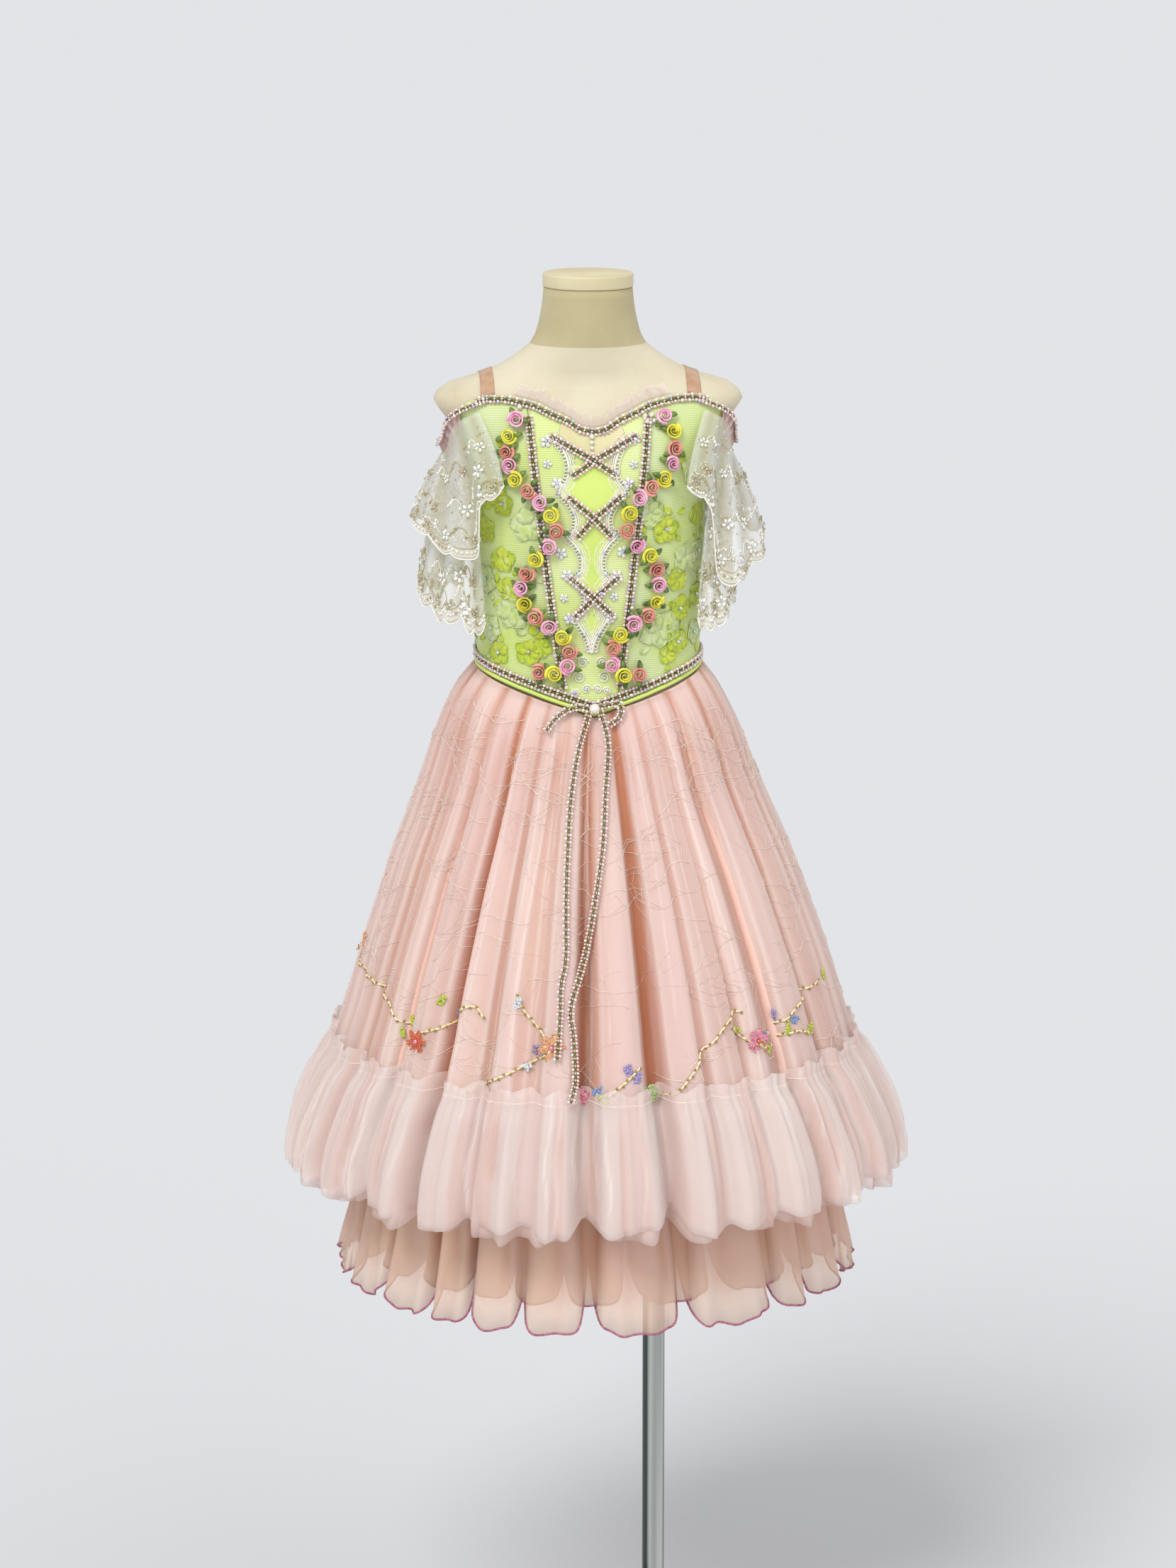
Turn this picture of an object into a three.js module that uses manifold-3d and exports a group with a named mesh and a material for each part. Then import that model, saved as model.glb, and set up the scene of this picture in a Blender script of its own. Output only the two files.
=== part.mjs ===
import * as THREE from 'three';
import { mergeVertices } from 'three/addons/utils/BufferGeometryUtils.js';
import Module from 'manifold-3d';

// A child's ballet dress on a dress form with a chrome pole and a round base.
// Millimetres, Z up, the dress faces -Y. The origin is the middle of the base's underside,
// on the form's own axis. A turn is an angle round that axis, from the front towards +X.

const wasm = await Module();
wasm.setup();

// Cloth and trim
const panelGap = 2.2; // bodice cloth off the form
const panelWall = 1.5;
const seamGap = 0.4; // between pieces sewn together
const sideSeam = 0.7; // along a skirt's slanting edge
const skirtWall = 1.8;
const thinWall = 1.4; // flounce and underskirt
const laceWall = 1.2;
const trimLift = 0.9; // braid off the cloth that it is sewn to
const roseLift = 0.5; // roses off the cloth
const lacingLift = 0.7;
const lacingWidth = 8;
const lacingHeight = 3.6;
const braidWidth = 10;
const braidHeight = 4;
const bowBraid = 7.5;
const bowPearl = 6;
const pipingRadius = 2.5;
const streamerDiameter = 7;
const strapWidth = 15;
const strapWall = 1.2;
const roseRadius = 9.5;
const roseHeight = 9;
const leafLength = 21;
const leafWidth = 11;
const leafThickness = 3;
const leafRise = 3; // middle of a leaf above its garland's foot
const leafReach = 4.5; // and beside its line

// Skirt levels
const stitchLevel = 752; // line where the flounce is gathered on
const levelPerShare = 400; // drop for one share below the stitch line
const waistDrop = 6; // skirt cloth starts this far below the bodice's edge
const underHem = 497;

// The stand
const capRadius = 49;
const capTop = 1600;
const capHeight = 15;
const formBottom = 965;
const poleOffset = 74; // the pole enters the form beside its axis
const poleRadius = 12.5;
const baseRadius = 170;
const baseThickness = 8;
const touchGap = 0.3;

const degrees = THREE.MathUtils.degToRad;
const { lerp, clamp, smoothstep } = THREE.MathUtils;

// A table with named columns, read smoothly between its rows by the first column.
function table(columns, rows) {
  const keys = rows.map((row) => row[0]);
  return (key, column) => {
    const c = columns.indexOf(column);
    const k = clamp(key, keys[0], keys.at(-1));
    let i = 0;
    while (i < keys.length - 2 && k > keys[i + 1]) i++;
    const slope = (j) => (rows[j + 1][c] - rows[j][c]) / (keys[j + 1] - keys[j]);
    const tangent = (j) => {
      if (j === 0 || j === rows.length - 1) return slope(Math.min(j, rows.length - 2));
      const [before, after] = [slope(j - 1), slope(j)];
      return before * after <= 0 ? 0 : 2 / (1 / before + 1 / after);
    };
    const span = keys[i + 1] - keys[i];
    const f = (k - keys[i]) / span;
    return rows[i][c] * (1 + 2 * f) * (1 - f) ** 2 + rows[i + 1][c] * f * f * (3 - 2 * f)
      + tangent(i) * span * f * (1 - f) ** 2 - tangent(i + 1) * span * f * f * (1 - f);
  };
}

const form = table(['z', 'halfWidth', 'front', 'back', 'squareness'], [
  [965, 140, 94, 100, 2.3],
  [1000, 149, 101, 108, 2.3],
  [1040, 149, 101, 109, 2.3],
  [1090, 142, 94, 101, 2.3],
  [1130, 129, 87.5, 88, 2.3],
  [1176, 118, 86, 79, 2.4],
  [1215, 118.5, 87, 80, 2.4],
  [1260, 120, 91, 85, 2.4],
  [1310, 122.5, 94, 90, 2.4],
  [1360, 124.5, 95.5, 94, 2.4],
  [1400, 130, 92, 95, 2.4],
  [1430, 144, 84, 92, 2.4],
  [1450, 158, 74, 85, 2.4],
  [1466, 168, 64, 76, 2.4],
  [1474, 163, 59, 71, 2.4],
  [1482, 151, 54, 65, 2.3],
  [1490, 124, 50, 60, 2.2],
  [1500, 98, 50, 57, 2.1],
  [1514, 76, 51, 56, 2],
  [1530, 59, 51, 55, 2],
  [1545, 54, 50, 52, 2],
  [1565, 50, 49, 49.5, 2],
  [capTop - capHeight - touchGap, 48, 48, 48, 2],
]);
const formLevels = [
  965, 975, 1030, 1100, 1150, 1180, 1260, 1350, 1395, 1425, 1448, 1466,
  1475, 1483, 1491, 1501, 1514, 1530, capTop - capHeight - touchGap,
];
const formColumns = 32;

function formRadius(turn, z) {
  const n = form(z, 'squareness');
  const depth = Math.cos(turn) > 0 ? form(z, 'front') : form(z, 'back');
  const across = Math.abs(Math.sin(turn)) / form(z, 'halfWidth');
  const along = Math.abs(Math.cos(turn)) / depth;
  return (across ** n + along ** n) ** (-1 / n);
}

const onRing = (turn, radius, z) =>
  new THREE.Vector3(radius * Math.sin(turn), -radius * Math.cos(turn), z);

function formNormal(turn, z) {
  const point = (a, b) => onRing(a, formRadius(a, b), b);
  const round = point(turn + 0.02, z).sub(point(turn - 0.02, z));
  const up = point(turn, z + 2).sub(point(turn, z - 2));
  return round.cross(up).normalize();
}

// A point on the form at a turn and a height, moved out along the surface's normal.
const onForm = (turn, z, out) =>
  onRing(turn, formRadius(turn, z), z).addScaledVector(formNormal(turn, z), out);

// The turn of the front surface where it passes a given x.
function turnAt(x, z) {
  const n = form(z, 'squareness');
  const share = Math.min(0.999, Math.abs(x) / form(z, 'halfWidth'));
  return Math.atan2(x, form(z, 'front') * (1 - share ** n) ** (1 / n));
}

// A closed body between an outer and an inner grid of points. Rows run up the outer face and
// columns run in the direction of turn; around joins the last column to the first.
function bodyBetween(outer, inner, around = false) {
  const rows = outer.length;
  const columns = outer[0].length;
  const positions = [];
  for (const grid of [outer, inner]) for (const row of grid) for (const p of row) positions.push(...p);
  const index = [];
  const at = (side, r, c) => side * rows * columns + r * columns + (c % columns);
  const quad = (a, b, c, d) => index.push(a, b, c, a, c, d);
  const spans = around ? columns : columns - 1;
  for (let c = 0; c < spans; c++) {
    for (let r = 0; r < rows - 1; r++) {
      quad(at(0, r, c), at(0, r, c + 1), at(0, r + 1, c + 1), at(0, r + 1, c));
      index.push(at(1, r, c), at(1, r + 1, c + 1), at(1, r, c + 1));
      index.push(at(1, r, c), at(1, r + 1, c), at(1, r + 1, c + 1));
    }
    quad(at(0, 0, c + 1), at(0, 0, c), at(1, 0, c), at(1, 0, c + 1));
    quad(at(0, rows - 1, c), at(0, rows - 1, c + 1), at(1, rows - 1, c + 1), at(1, rows - 1, c));
  }
  if (!around) {
    for (let r = 0; r < rows - 1; r++) {
      quad(at(0, r, 0), at(0, r + 1, 0), at(1, r + 1, 0), at(1, r, 0));
      const last = columns - 1;
      quad(at(0, r + 1, last), at(0, r, last), at(1, r, last), at(1, r + 1, last));
    }
  }
  const geometry = new THREE.BufferGeometry();
  geometry.setAttribute('position', new THREE.Float32BufferAttribute(positions, 3));
  geometry.setIndex(index);
  return geometry;
}

// The grid moved inwards along its own normals, for the inner face of a wall of cloth.
function movedIn(grid, wall, around = false) {
  const rows = grid.length;
  const columns = grid[0].length;
  const column = (c) => (around ? (c + columns) % columns : clamp(c, 0, columns - 1));
  return grid.map((row, r) => row.map((p, c) => {
    const round = grid[r][column(c + 1)].clone().sub(grid[r][column(c - 1)]);
    const up = grid[Math.min(rows - 1, r + 1)][c].clone().sub(grid[Math.max(0, r - 1)][c]);
    return p.clone().addScaledVector(round.cross(up).normalize(), -wall);
  }));
}

const cloth = (grid, wall, around = false) => bodyBetween(grid, movedIn(grid, wall, around), around);

// A low arched band along a line on the cloth, each step of the line { point, normal }.
const arched = [[-0.5, 0.45], [0, 1], [0.5, 0.45]]; // across, height
function band(line, width, height, around = false, section = arched) {
  const count = line.length;
  const next = (i) => line[around ? (i + 1) % count : Math.min(count - 1, i + 1)].point;
  const previous = (i) => line[around ? (i + count - 1) % count : Math.max(0, i - 1)].point;
  const grid = (share) => section.map(([across, tall]) => line.map(({ point, normal }, i) => {
    const side = normal.clone().cross(next(i).clone().sub(previous(i))).normalize();
    return point.clone().addScaledVector(side, across * width)
      .addScaledVector(normal, tall * height * share);
  }));
  return bodyBetween(grid(1), grid(0), around);
}

// Geometry as a solid for joining, its vertices merged and its faces turned outwards.
function solidOf(source) {
  const geometry = source.clone();
  for (const name of Object.keys(geometry.attributes)) {
    if (name !== 'position') geometry.deleteAttribute(name);
  }
  const merged = mergeVertices(geometry, 1e-4);
  const triVerts = Uint32Array.from(merged.index.array);
  return new wasm.Manifold(new wasm.Mesh({
    numProp: 3, vertProperties: Float32Array.from(merged.attributes.position.array), triVerts,
  }));
}

function geometryOf(solid) {
  const { vertProperties, triVerts } = solid.getMesh();
  const geometry = new THREE.BufferGeometry();
  geometry.setAttribute('position', new THREE.BufferAttribute(vertProperties, 3));
  geometry.setIndex(new THREE.BufferAttribute(triVerts, 1));
  return geometry;
}

const joined = (geometries) =>
  geometryOf(geometries.map(solidOf).reduce((whole, piece) => whole.add(piece)));

const finishes = {
  linen: { color: '#e4dabb', roughness: 0.9 },
  wood: { color: '#e0d3ad', roughness: 0.6 },
  chrome: { color: '#c9ccd0', roughness: 0.12, metalness: 1 },
  satin: { color: '#d9f06a', roughness: 0.45 },
  organza: { color: '#d6e6a8', roughness: 0.7 },
  peachTulle: { color: '#e3b8a8', roughness: 0.9 },
  paleTulle: { color: '#ead5ce', roughness: 0.9 },
  chiffon: { color: '#ddb49c', roughness: 0.85 },
  pinkTulle: { color: '#e2c3bf', roughness: 0.9 },
  whiteLace: { color: '#f1efe6', roughness: 0.85 },
  oliveBraid: { color: '#5c6230', roughness: 0.6 },
  nudeElastic: { color: '#c9a585', roughness: 0.7 },
  ribbon: { color: '#eb9fb0', roughness: 0.5 },
};

const dressOnForm = new THREE.Group();

function add(name, geometry, finish) {
  const { color, roughness, metalness = 0 } = finishes[finish];
  const material = new THREE.MeshStandardMaterial({ color, roughness, metalness });
  const mesh = new THREE.Mesh(geometry, material);
  mesh.name = name;
  dressOnForm.add(mesh);
  return mesh;
}

const range = (count) => Array.from({ length: count }, (_, i) => i);

// The form: sections stacked into one body, closed by flat ends.
{
  const profile = formLevels.map((z, i) => range(formColumns).map((c) => {
    const turn = (2 * Math.PI * c) / formColumns;
    const inset = i === 0 ? 6 : 0; // rounds the bottom edge
    return onRing(turn, formRadius(turn, z) - inset, z);
  }));
  const ends = [0, formLevels.length - 1].map((i) => new THREE.Vector3(0, 0, formLevels[i]));
  const positions = [...profile.flat(), ...ends].flatMap((p) => [...p]);
  const index = [];
  const at = (r, c) => r * formColumns + (c % formColumns);
  const [low, high] = [profile.flat().length, profile.flat().length + 1];
  for (const c of range(formColumns)) {
    for (const r of range(formLevels.length - 1)) {
      index.push(at(r, c), at(r, c + 1), at(r + 1, c + 1), at(r, c), at(r + 1, c + 1), at(r + 1, c));
    }
    index.push(low, at(0, c + 1), at(0, c));
    index.push(high, at(formLevels.length - 1, c), at(formLevels.length - 1, c + 1));
  }
  const geometry = new THREE.BufferGeometry();
  geometry.setAttribute('position', new THREE.Float32BufferAttribute(positions, 3));
  geometry.setIndex(index);
  add('form_body', geometry, 'linen');
}

// Neck cap, pole and base, each turned about its own upright axis.
const turned = (profile, sides) =>
  new THREE.LatheGeometry(profile.map(([r, z]) => new THREE.Vector2(r, z)), sides).rotateX(Math.PI / 2);
add('form_cap', turned([
  [0, 0], [capRadius - 1, 0], [capRadius, 1], [capRadius, capHeight - 1.5],
  [capRadius - 1.5, capHeight], [0, capHeight],
], 24), 'wood').position.z = capTop - capHeight;
const poleLength = formBottom - baseThickness - 2 * touchGap;
add('pole', new THREE.CylinderGeometry(poleRadius, poleRadius, poleLength, 16).rotateX(Math.PI / 2),
  'chrome').position.set(poleOffset, 0, baseThickness + touchGap + poleLength / 2);
add('base', turned([
  [0, 0], [baseRadius, 0], [baseRadius, baseThickness - 2],
  [baseRadius - 2, baseThickness], [0, baseThickness],
], 30), 'chrome');

// Bodice lines, by the turn in degrees: the upper edge, and the lower edge with its front point.
const upperEdge = table(['turn', 'z'], [
  [0, 1441], [9, 1443.5], [20, 1452], [33, 1459.5], [44, 1467], [53, 1471], [60, 1473.5],
  [65, 1473.5], [70, 1468], [77, 1449], [84, 1426], [92, 1411], [105, 1403], [130, 1402], [180, 1408],
]);
const lowerEdge = table(['turn', 'z'], [
  [0, 1135], [15, 1143.5], [30, 1152], [45, 1161.5], [60, 1170.5], [75, 1177], [90, 1180], [180, 1182],
]);
const sideOf = (turn) => Math.abs(THREE.MathUtils.radToDeg(turn));
const upperAt = (turn) => upperEdge(sideOf(turn), 'z');
const lowerAt = (turn) => lowerEdge(sideOf(turn), 'z');

// Princess seams run from near the front point out to the neckline.
const princess = table(['z', 'left', 'right'], [[1130, -28, 24], [1300, -51, 42], [1475, -71, 61]]);
const seamTurn = (side) => (z) => turnAt(princess(z, side), z);
const bodicePanels = [
  { name: 'bodice_centre_front', from: seamTurn('left'), to: seamTurn('right'), columns: 7 },
  { name: 'bodice_side_front_left', from: () => -Math.PI / 2, to: seamTurn('left'), columns: 9 },
  { name: 'bodice_side_front_right', from: seamTurn('right'), to: () => Math.PI / 2, columns: 9 },
  { name: 'bodice_back_left', from: () => -Math.PI, to: () => -Math.PI / 2, columns: 9 },
  { name: 'bodice_back_right', from: () => Math.PI / 2, to: () => Math.PI, columns: 9 },
];
const bodiceRows = [0, 0.14, 0.36, 0.6, 0.8, 0.92, 1]; // shares of the panel's height

for (const { name, from, to, columns } of bodicePanels) {
  const grid = bodiceRows.map((share) => range(columns + 1).map((c) => {
    let z = 1300;
    let turn = 0;
    for (const _ of range(8)) {
      const inset = seamGap / 2 / formRadius(from(z), z);
      turn = lerp(from(z) + inset, to(z) - inset, c / columns);
      z = lerp(lowerAt(turn), upperAt(turn), share);
    }
    return onForm(turn, z, panelGap + panelWall);
  }));
  add(name, cloth(grid, panelWall), name === 'bodice_centre_front' ? 'satin' : 'organza');
}

// A step of a trim line on the bodice, its foot lifted off the cloth.
const clothOut = panelGap + panelWall;
const onBodice = (turn, z, lift = trimLift) =>
  ({ point: onForm(turn, z, clothOut + lift), normal: formNormal(turn, z) });

// Beaded braids: round the neckline, round the waist and down each princess seam.
const neckTurn = degrees(68);
const neckBraidDrop = 5;
add('neckline_braid', band(range(27).map((i) => {
  const turn = lerp(-neckTurn, neckTurn, i / 26);
  return onBodice(turn, upperAt(turn) - neckBraidDrop);
}), braidWidth, braidHeight), 'oliveBraid');

const waistSteps = 44;
const waistBraidRise = 6.5;
add('waist_braid', band(range(waistSteps).map((i) => {
  const turn = (2 * Math.PI * i) / waistSteps;
  const signed = turn > Math.PI ? turn - 2 * Math.PI : turn;
  return onBodice(turn, lowerAt(signed) + waistBraidRise);
}), braidWidth, braidHeight, true), 'oliveBraid');

for (const side of ['left', 'right']) {
  const top = upperAt(seamTurn(side)(1465)) - 2 * neckBraidDrop - 4;
  const bottom = lowerAt(seamTurn(side)(1150)) + 2 * waistBraidRise + 2.5;
  add(`princess_braid_${side}`, band(range(13).map((i) => {
    const z = lerp(bottom, top, i / 12);
    return onBodice(seamTurn(side)(z), z);
  }), braidWidth, braidHeight), 'oliveBraid');
}

// Crossed lacing: two braids over each other at each crossing, joined where they cross.
const crossings = [ // middle height, then reach and height of the upper and the lower ends
  { name: 'lacing_braid_upper', z: 1408, upper: [46, 1433], lower: [23, 1393] },
  { name: 'lacing_braid_middle', z: 1348, upper: [28, 1371], lower: [18, 1328] },
  { name: 'lacing_braid_lower', z: 1261, upper: [26, 1284], lower: [20, 1241] },
];
for (const { name, z, upper, lower } of crossings) {
  const strand = (side, lift) => band([
    [-side * lower[0], lower[1]], [0, z], [side * upper[0] / 2, (z + upper[1]) / 2], [side * upper[0], upper[1]],
  ].map(([x, height]) => onBodice(turnAt(x, height), height, lacingLift + lift)), lacingWidth, lacingHeight);
  add(name, joined([strand(1, 0), strand(-1, 0.6)]), 'oliveBraid');
}

// Rose garlands: ribbon roses fused to each other by the satin leaves between them.
const garlands = { // middle of each rose, x then z
  left: [
    [-80, 1447.5], [-88, 1433], [-90, 1417], [-86, 1403], [-80, 1388], [-67, 1377.5], [-55, 1366],
    [-45, 1352], [-40, 1335], [-46, 1318], [-60, 1304], [-69, 1288], [-74, 1271], [-71, 1254],
    [-60, 1241], [-46, 1231], [-33, 1220], [-26, 1204], [-27, 1187], [-41, 1177.5], [-57, 1178.5],
  ],
  right: [
    [75, 1450], [84, 1436], [85.5, 1419], [82, 1403], [73, 1388.5], [58, 1380], [45, 1369],
    [36, 1354], [34, 1336], [43, 1319], [57, 1307], [66, 1291], [68, 1273], [65, 1256],
    [56, 1241], [41, 1233], [27, 1222], [19, 1206], [18, 1188], [31, 1176], [47, 1175.5],
  ],
};
// A garland climbs over the princess braid where it crosses it.
function garlandLift(x, z, side) {
  const apart = Math.abs(x - princess(z, side));
  return roseLift + (braidHeight + 0.9) * (1 - smoothstep(apart, 15, 25));
}
const upright = new THREE.Vector3(0, 1, 0);
function roseAt({ point, normal }, index) {
  const profile = [[0, 0], [1, 0.3], [0.64, 1], [0, 0.7]]
    .map(([r, h]) => new THREE.Vector2(r * roseRadius, h * roseHeight));
  return new THREE.LatheGeometry(profile, 5).rotateY(index * 0.7)
    .applyQuaternion(new THREE.Quaternion().setFromUnitVectors(upright, normal)).translate(...point);
}
// A leaf reaches from one rose into the next, on either side of the garland in turn.
function leafBetween(start, end, index) {
  const along = end.point.clone().sub(start.point);
  const across = along.clone().cross(start.normal).normalize();
  const middle = start.point.clone().lerp(end.point, 0.5)
    .addScaledVector(start.normal, leafRise).addScaledVector(across, index % 2 ? leafReach : -leafReach);
  const frame = new THREE.Matrix4().makeBasis(along.normalize(), across, start.normal.clone().negate());
  return new THREE.OctahedronGeometry(1).scale(leafLength / 2, leafWidth / 2, leafThickness / 2)
    .applyMatrix4(frame).translate(...middle);
}
for (const [side, places] of Object.entries(garlands)) {
  const steps = places.map(([x, z]) => onBodice(turnAt(x, z), z, garlandLift(x, z, side)));
  const leaves = steps.slice(1).map((step, i) => leafBetween(steps[i], step, i));
  add(`rose_garland_${side}`, joined([...steps.map(roseAt), ...leaves]), 'ribbon');
}

// Skirt shape by share of the way from the waist to the stitch line, then on to the hem.
const skirt = table(['share', 'left', 'right', 'front', 'back', 'fold', 'squareness'], [
  [0, 125, 125, 96.5, 86.5, 0.5, 2.5],
  [0.06, 146, 144, 115, 107, 2.5, 2.3],
  [0.16, 166, 166, 138, 133, 6, 2.15],
  [0.27, 182, 184, 161, 157, 10, 2],
  [0.38, 198, 204, 184, 180, 14, 2],
  [0.47, 213, 221, 203, 200, 17, 2],
  [0.58, 228, 239, 224, 221, 20, 2],
  [0.77, 254, 268, 258, 255, 25, 2],
  [0.87, 266, 281, 273, 270, 27, 2],
  [1, 283, 296, 296, 290, 29, 2],
  [1.28, 304, 322, 320, 314, 33, 2],
]);
const waistShare = (turn, share) => (share < 1
  ? lerp(lowerAt(turn) - waistDrop, stitchLevel, share)
  : stitchLevel - (share - 1) * levelPerShare);
function skirtRadius(turn, share) {
  const n = skirt(share, 'squareness');
  const sideways = Math.abs(Math.sin(turn)) / skirt(share, Math.sin(turn) > 0 ? 'right' : 'left');
  const along = Math.abs(Math.cos(turn)) / skirt(share, Math.cos(turn) > 0 ? 'front' : 'back');
  return (sideways ** n + along ** n) ** (-1 / n);
}

// The valleys between the folds: the turn in degrees and how deep each one is.
const overFolds = [
  [-167, 0.8], [-148, 1], [-128, 0.6], [-110, 0.9], [-93, 0.7], [-79, 0.9], [-66, 0.6],
  [-52, 0.9], [-38, 1.2], [-27, 0.5], [-16, 0.4], [-5, 1.2], [12, 1.2], [23, 0.45], [33, 0.4],
  [44, 1.1], [58, 0.8], [72, 0.7], [88, 0.9], [105, 0.7], [124, 1], [143, 0.6], [161, 0.9], [177, 0.6],
];
const underFolds = [
  [-163, 0.9], [-139, 1], [-115, 0.8], [-93, 0.9], [-74, 0.7], [-57, 0.6], [-41, 1.1],
  [-31, 0.9], [-19, 0.5], [-4, 1.1], [17.5, 1.2], [41, 1.1], [51, 0.6], [68, 0.8], [88, 0.9],
  [110, 0.8], [134, 1], [157, 0.9], [178, 0.7],
];
// Columns of a folded skirt: each has its turn and how far it stands back from the crest.
function foldColumns(folds, section) {
  return folds.flatMap(([start, depth], i) => {
    const [end, nextDepth] = i + 1 < folds.length ? folds[i + 1] : [folds[0][0] + 360, folds[0][1]];
    return section.map(([share, back]) => ({
      turn: degrees(lerp(start, end, share)), back: back * lerp(depth, nextDepth, share),
    }));
  });
}

// A skirt goes round in a front and a back half, with a narrow seam between them at each side.
function addHalves(name, columns, grid, wall, finish) {
  const inner = movedIn(grid, wall, true);
  const nearest = (side) => columns.reduce((best, { turn }, i) =>
    (Math.abs(turn - side) < Math.abs(columns[best].turn - side) ? i : best), 0);
  const [left, right] = [nearest(-Math.PI / 2), nearest(Math.PI / 2)];
  const count = columns.length;
  const half = (rows, first, last) => rows.map((row) => {
    const points = range(last - first + 1).map((i) => row[(first + i) % count].clone());
    const inwards = (end, next) => end.lerp(next, sideSeam / 2 / end.distanceTo(next));
    inwards(points[0], points[1].clone());
    inwards(points.at(-1), points.at(-2).clone());
    return points;
  });
  for (const [part, first, last] of [['front', left, right], ['back', right, left + count]]) {
    add(`${name}_${part}`, bodyBetween(half(grid, first, last), half(inner, first, last)), finish);
  }
}

const overColumns = foldColumns(overFolds, [[0, 1], [0.2, 0.28], [0.5, 0], [0.8, 0.28]]);
const overPoint = ({ turn, back }, share, out = 0) =>
  onRing(turn, skirtRadius(turn, share) - back * skirt(share, 'fold') + out, waistShare(turn, share));
const overShares = [1.28, 1, 0.75, 0.5, 0.27, 0.06, 0];
addHalves('overskirt', overColumns, overShares.map((share) =>
  overColumns.map((column) => overPoint(column, share))), skirtWall, 'peachTulle');

// The flounce follows the overskirt's own points moved out, with a gather on every other point.
const flounceRows = [ // share, clearance, wave
  [1.325, 26, 8], [1.15, 16, 6], [1, 2.2, 0.8], [0.97, 3.2, 4],
];
const flounceColumns = overColumns.flatMap((column, i) => {
  const next = overColumns[(i + 1) % overColumns.length];
  const turn = next.turn < column.turn ? next.turn + 2 * Math.PI : next.turn;
  const between = { turn: lerp(column.turn, turn, 0.5), back: lerp(column.back, next.back, 0.5) };
  return column.back + next.back < 0.5 ? [column, between] : [column];
});
addHalves('flounce', flounceColumns, flounceRows.map(([share, clearance, wave]) =>
  flounceColumns.map((column, i) => overPoint(column, share, clearance + skirtWall + (i % 2) * wave))),
thinWall, 'paleTulle');

// The underskirt stays inside the overskirt's valleys, then swings out in petals below it.
const underShape = table(['share', 'inset', 'fold'], [
  [0, 3.2, 0], [0.06, 7, 0.8], [0.16, 13, 2], [0.4, 25, 5], [0.8, 38, 9], [1, 44, 12],
  [1.3, 46, 24], [1.64, 26, 34],
]);
const petalRise = 42; // the hem climbs this much in a valley
const underColumns = foldColumns(underFolds, [[0, 1], [0.2, 0.35], [0.5, 0], [0.8, 0.35]]);
const underShares = [1.64, 1.45, 1.24, 0.97, 0.5, 0.06, 0];
addHalves('underskirt', underColumns, underShares.map((share) => underColumns.map(({ turn, back }) => {
  const inset = underShape(share, 'inset') + back * underShape(share, 'fold');
  const rise = back * back * petalRise * smoothstep(share, 1, underShares[0]);
  const level = share === underShares[0] ? underHem : waistShare(turn, share);
  return onRing(turn, skirtRadius(turn, share) - inset, level + rise);
})), thinWall, 'chiffon');

// Satin piping under the bodice's edge.
add('basque_piping', (() => {
  const sides = 5;
  const ring = range(waistSteps).map((i) => {
    const turn = (2 * Math.PI * i) / waistSteps;
    const signed = turn > Math.PI ? turn - 2 * Math.PI : turn;
    const z = lowerAt(signed) - seamGap - pipingRadius;
    return { point: onForm(turn, z, 1.6 + pipingRadius), normal: formNormal(turn, z) };
  });
  const up = new THREE.Vector3(0, 0, 1);
  const grid = range(sides).map((s) => ring.map(({ point, normal }) => {
    const angle = (2 * Math.PI * s) / sides;
    return point.clone().addScaledVector(normal, pipingRadius * Math.cos(angle))
      .addScaledVector(up, pipingRadius * Math.sin(angle));
  }));
  const positions = grid.flat().flatMap((p) => [...p]);
  const at = (s, i) => (s % sides) * waistSteps + (i % waistSteps);
  const index = range(sides).flatMap((s) => range(waistSteps).flatMap((i) =>
    [at(s, i), at(s, i + 1), at(s + 1, i + 1), at(s, i), at(s + 1, i + 1), at(s + 1, i)]));
  const geometry = new THREE.BufferGeometry();
  geometry.setAttribute('position', new THREE.Float32BufferAttribute(positions, 3));
  geometry.setIndex(index);
  return geometry;
})(), 'satin');

// A cord or a tube along a smooth curve.
function tube(points, diameter, steps, sides = 8) {
  const section = new THREE.Shape(range(sides).map((i) => new THREE.Vector2(
    (diameter / 2) * Math.cos((2 * Math.PI * i) / sides), (diameter / 2) * Math.sin((2 * Math.PI * i) / sides),
  )));
  const extrudePath = new THREE.CatmullRomCurve3(points.map((p) => new THREE.Vector3(...p)));
  return new THREE.ExtrudeGeometry(section, { steps, bevelEnabled: false, extrudePath });
}

// A bow at the front point: a tail and a loop of beaded braid under one large pearl.
const bowKnot = [0, -99.1, 1140];
const bowTail = [bowKnot, [-22, -100.7, 1142], [-40, -107, 1134], [-53, -117.5, 1121]];
const bowLoop = [bowKnot, [14, -99.7, 1144.5], [27, -101.7, 1145], [27, -107, 1133], [16, -110.5, 1125]];
add('bow', joined([
  tube(bowTail, bowBraid, 6, 6), tube(bowLoop, bowBraid, 8, 6),
  new THREE.IcosahedronGeometry(bowPearl, 0).translate(bowKnot[0], bowKnot[1] - 2, bowKnot[2]),
]), 'oliveBraid');

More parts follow.
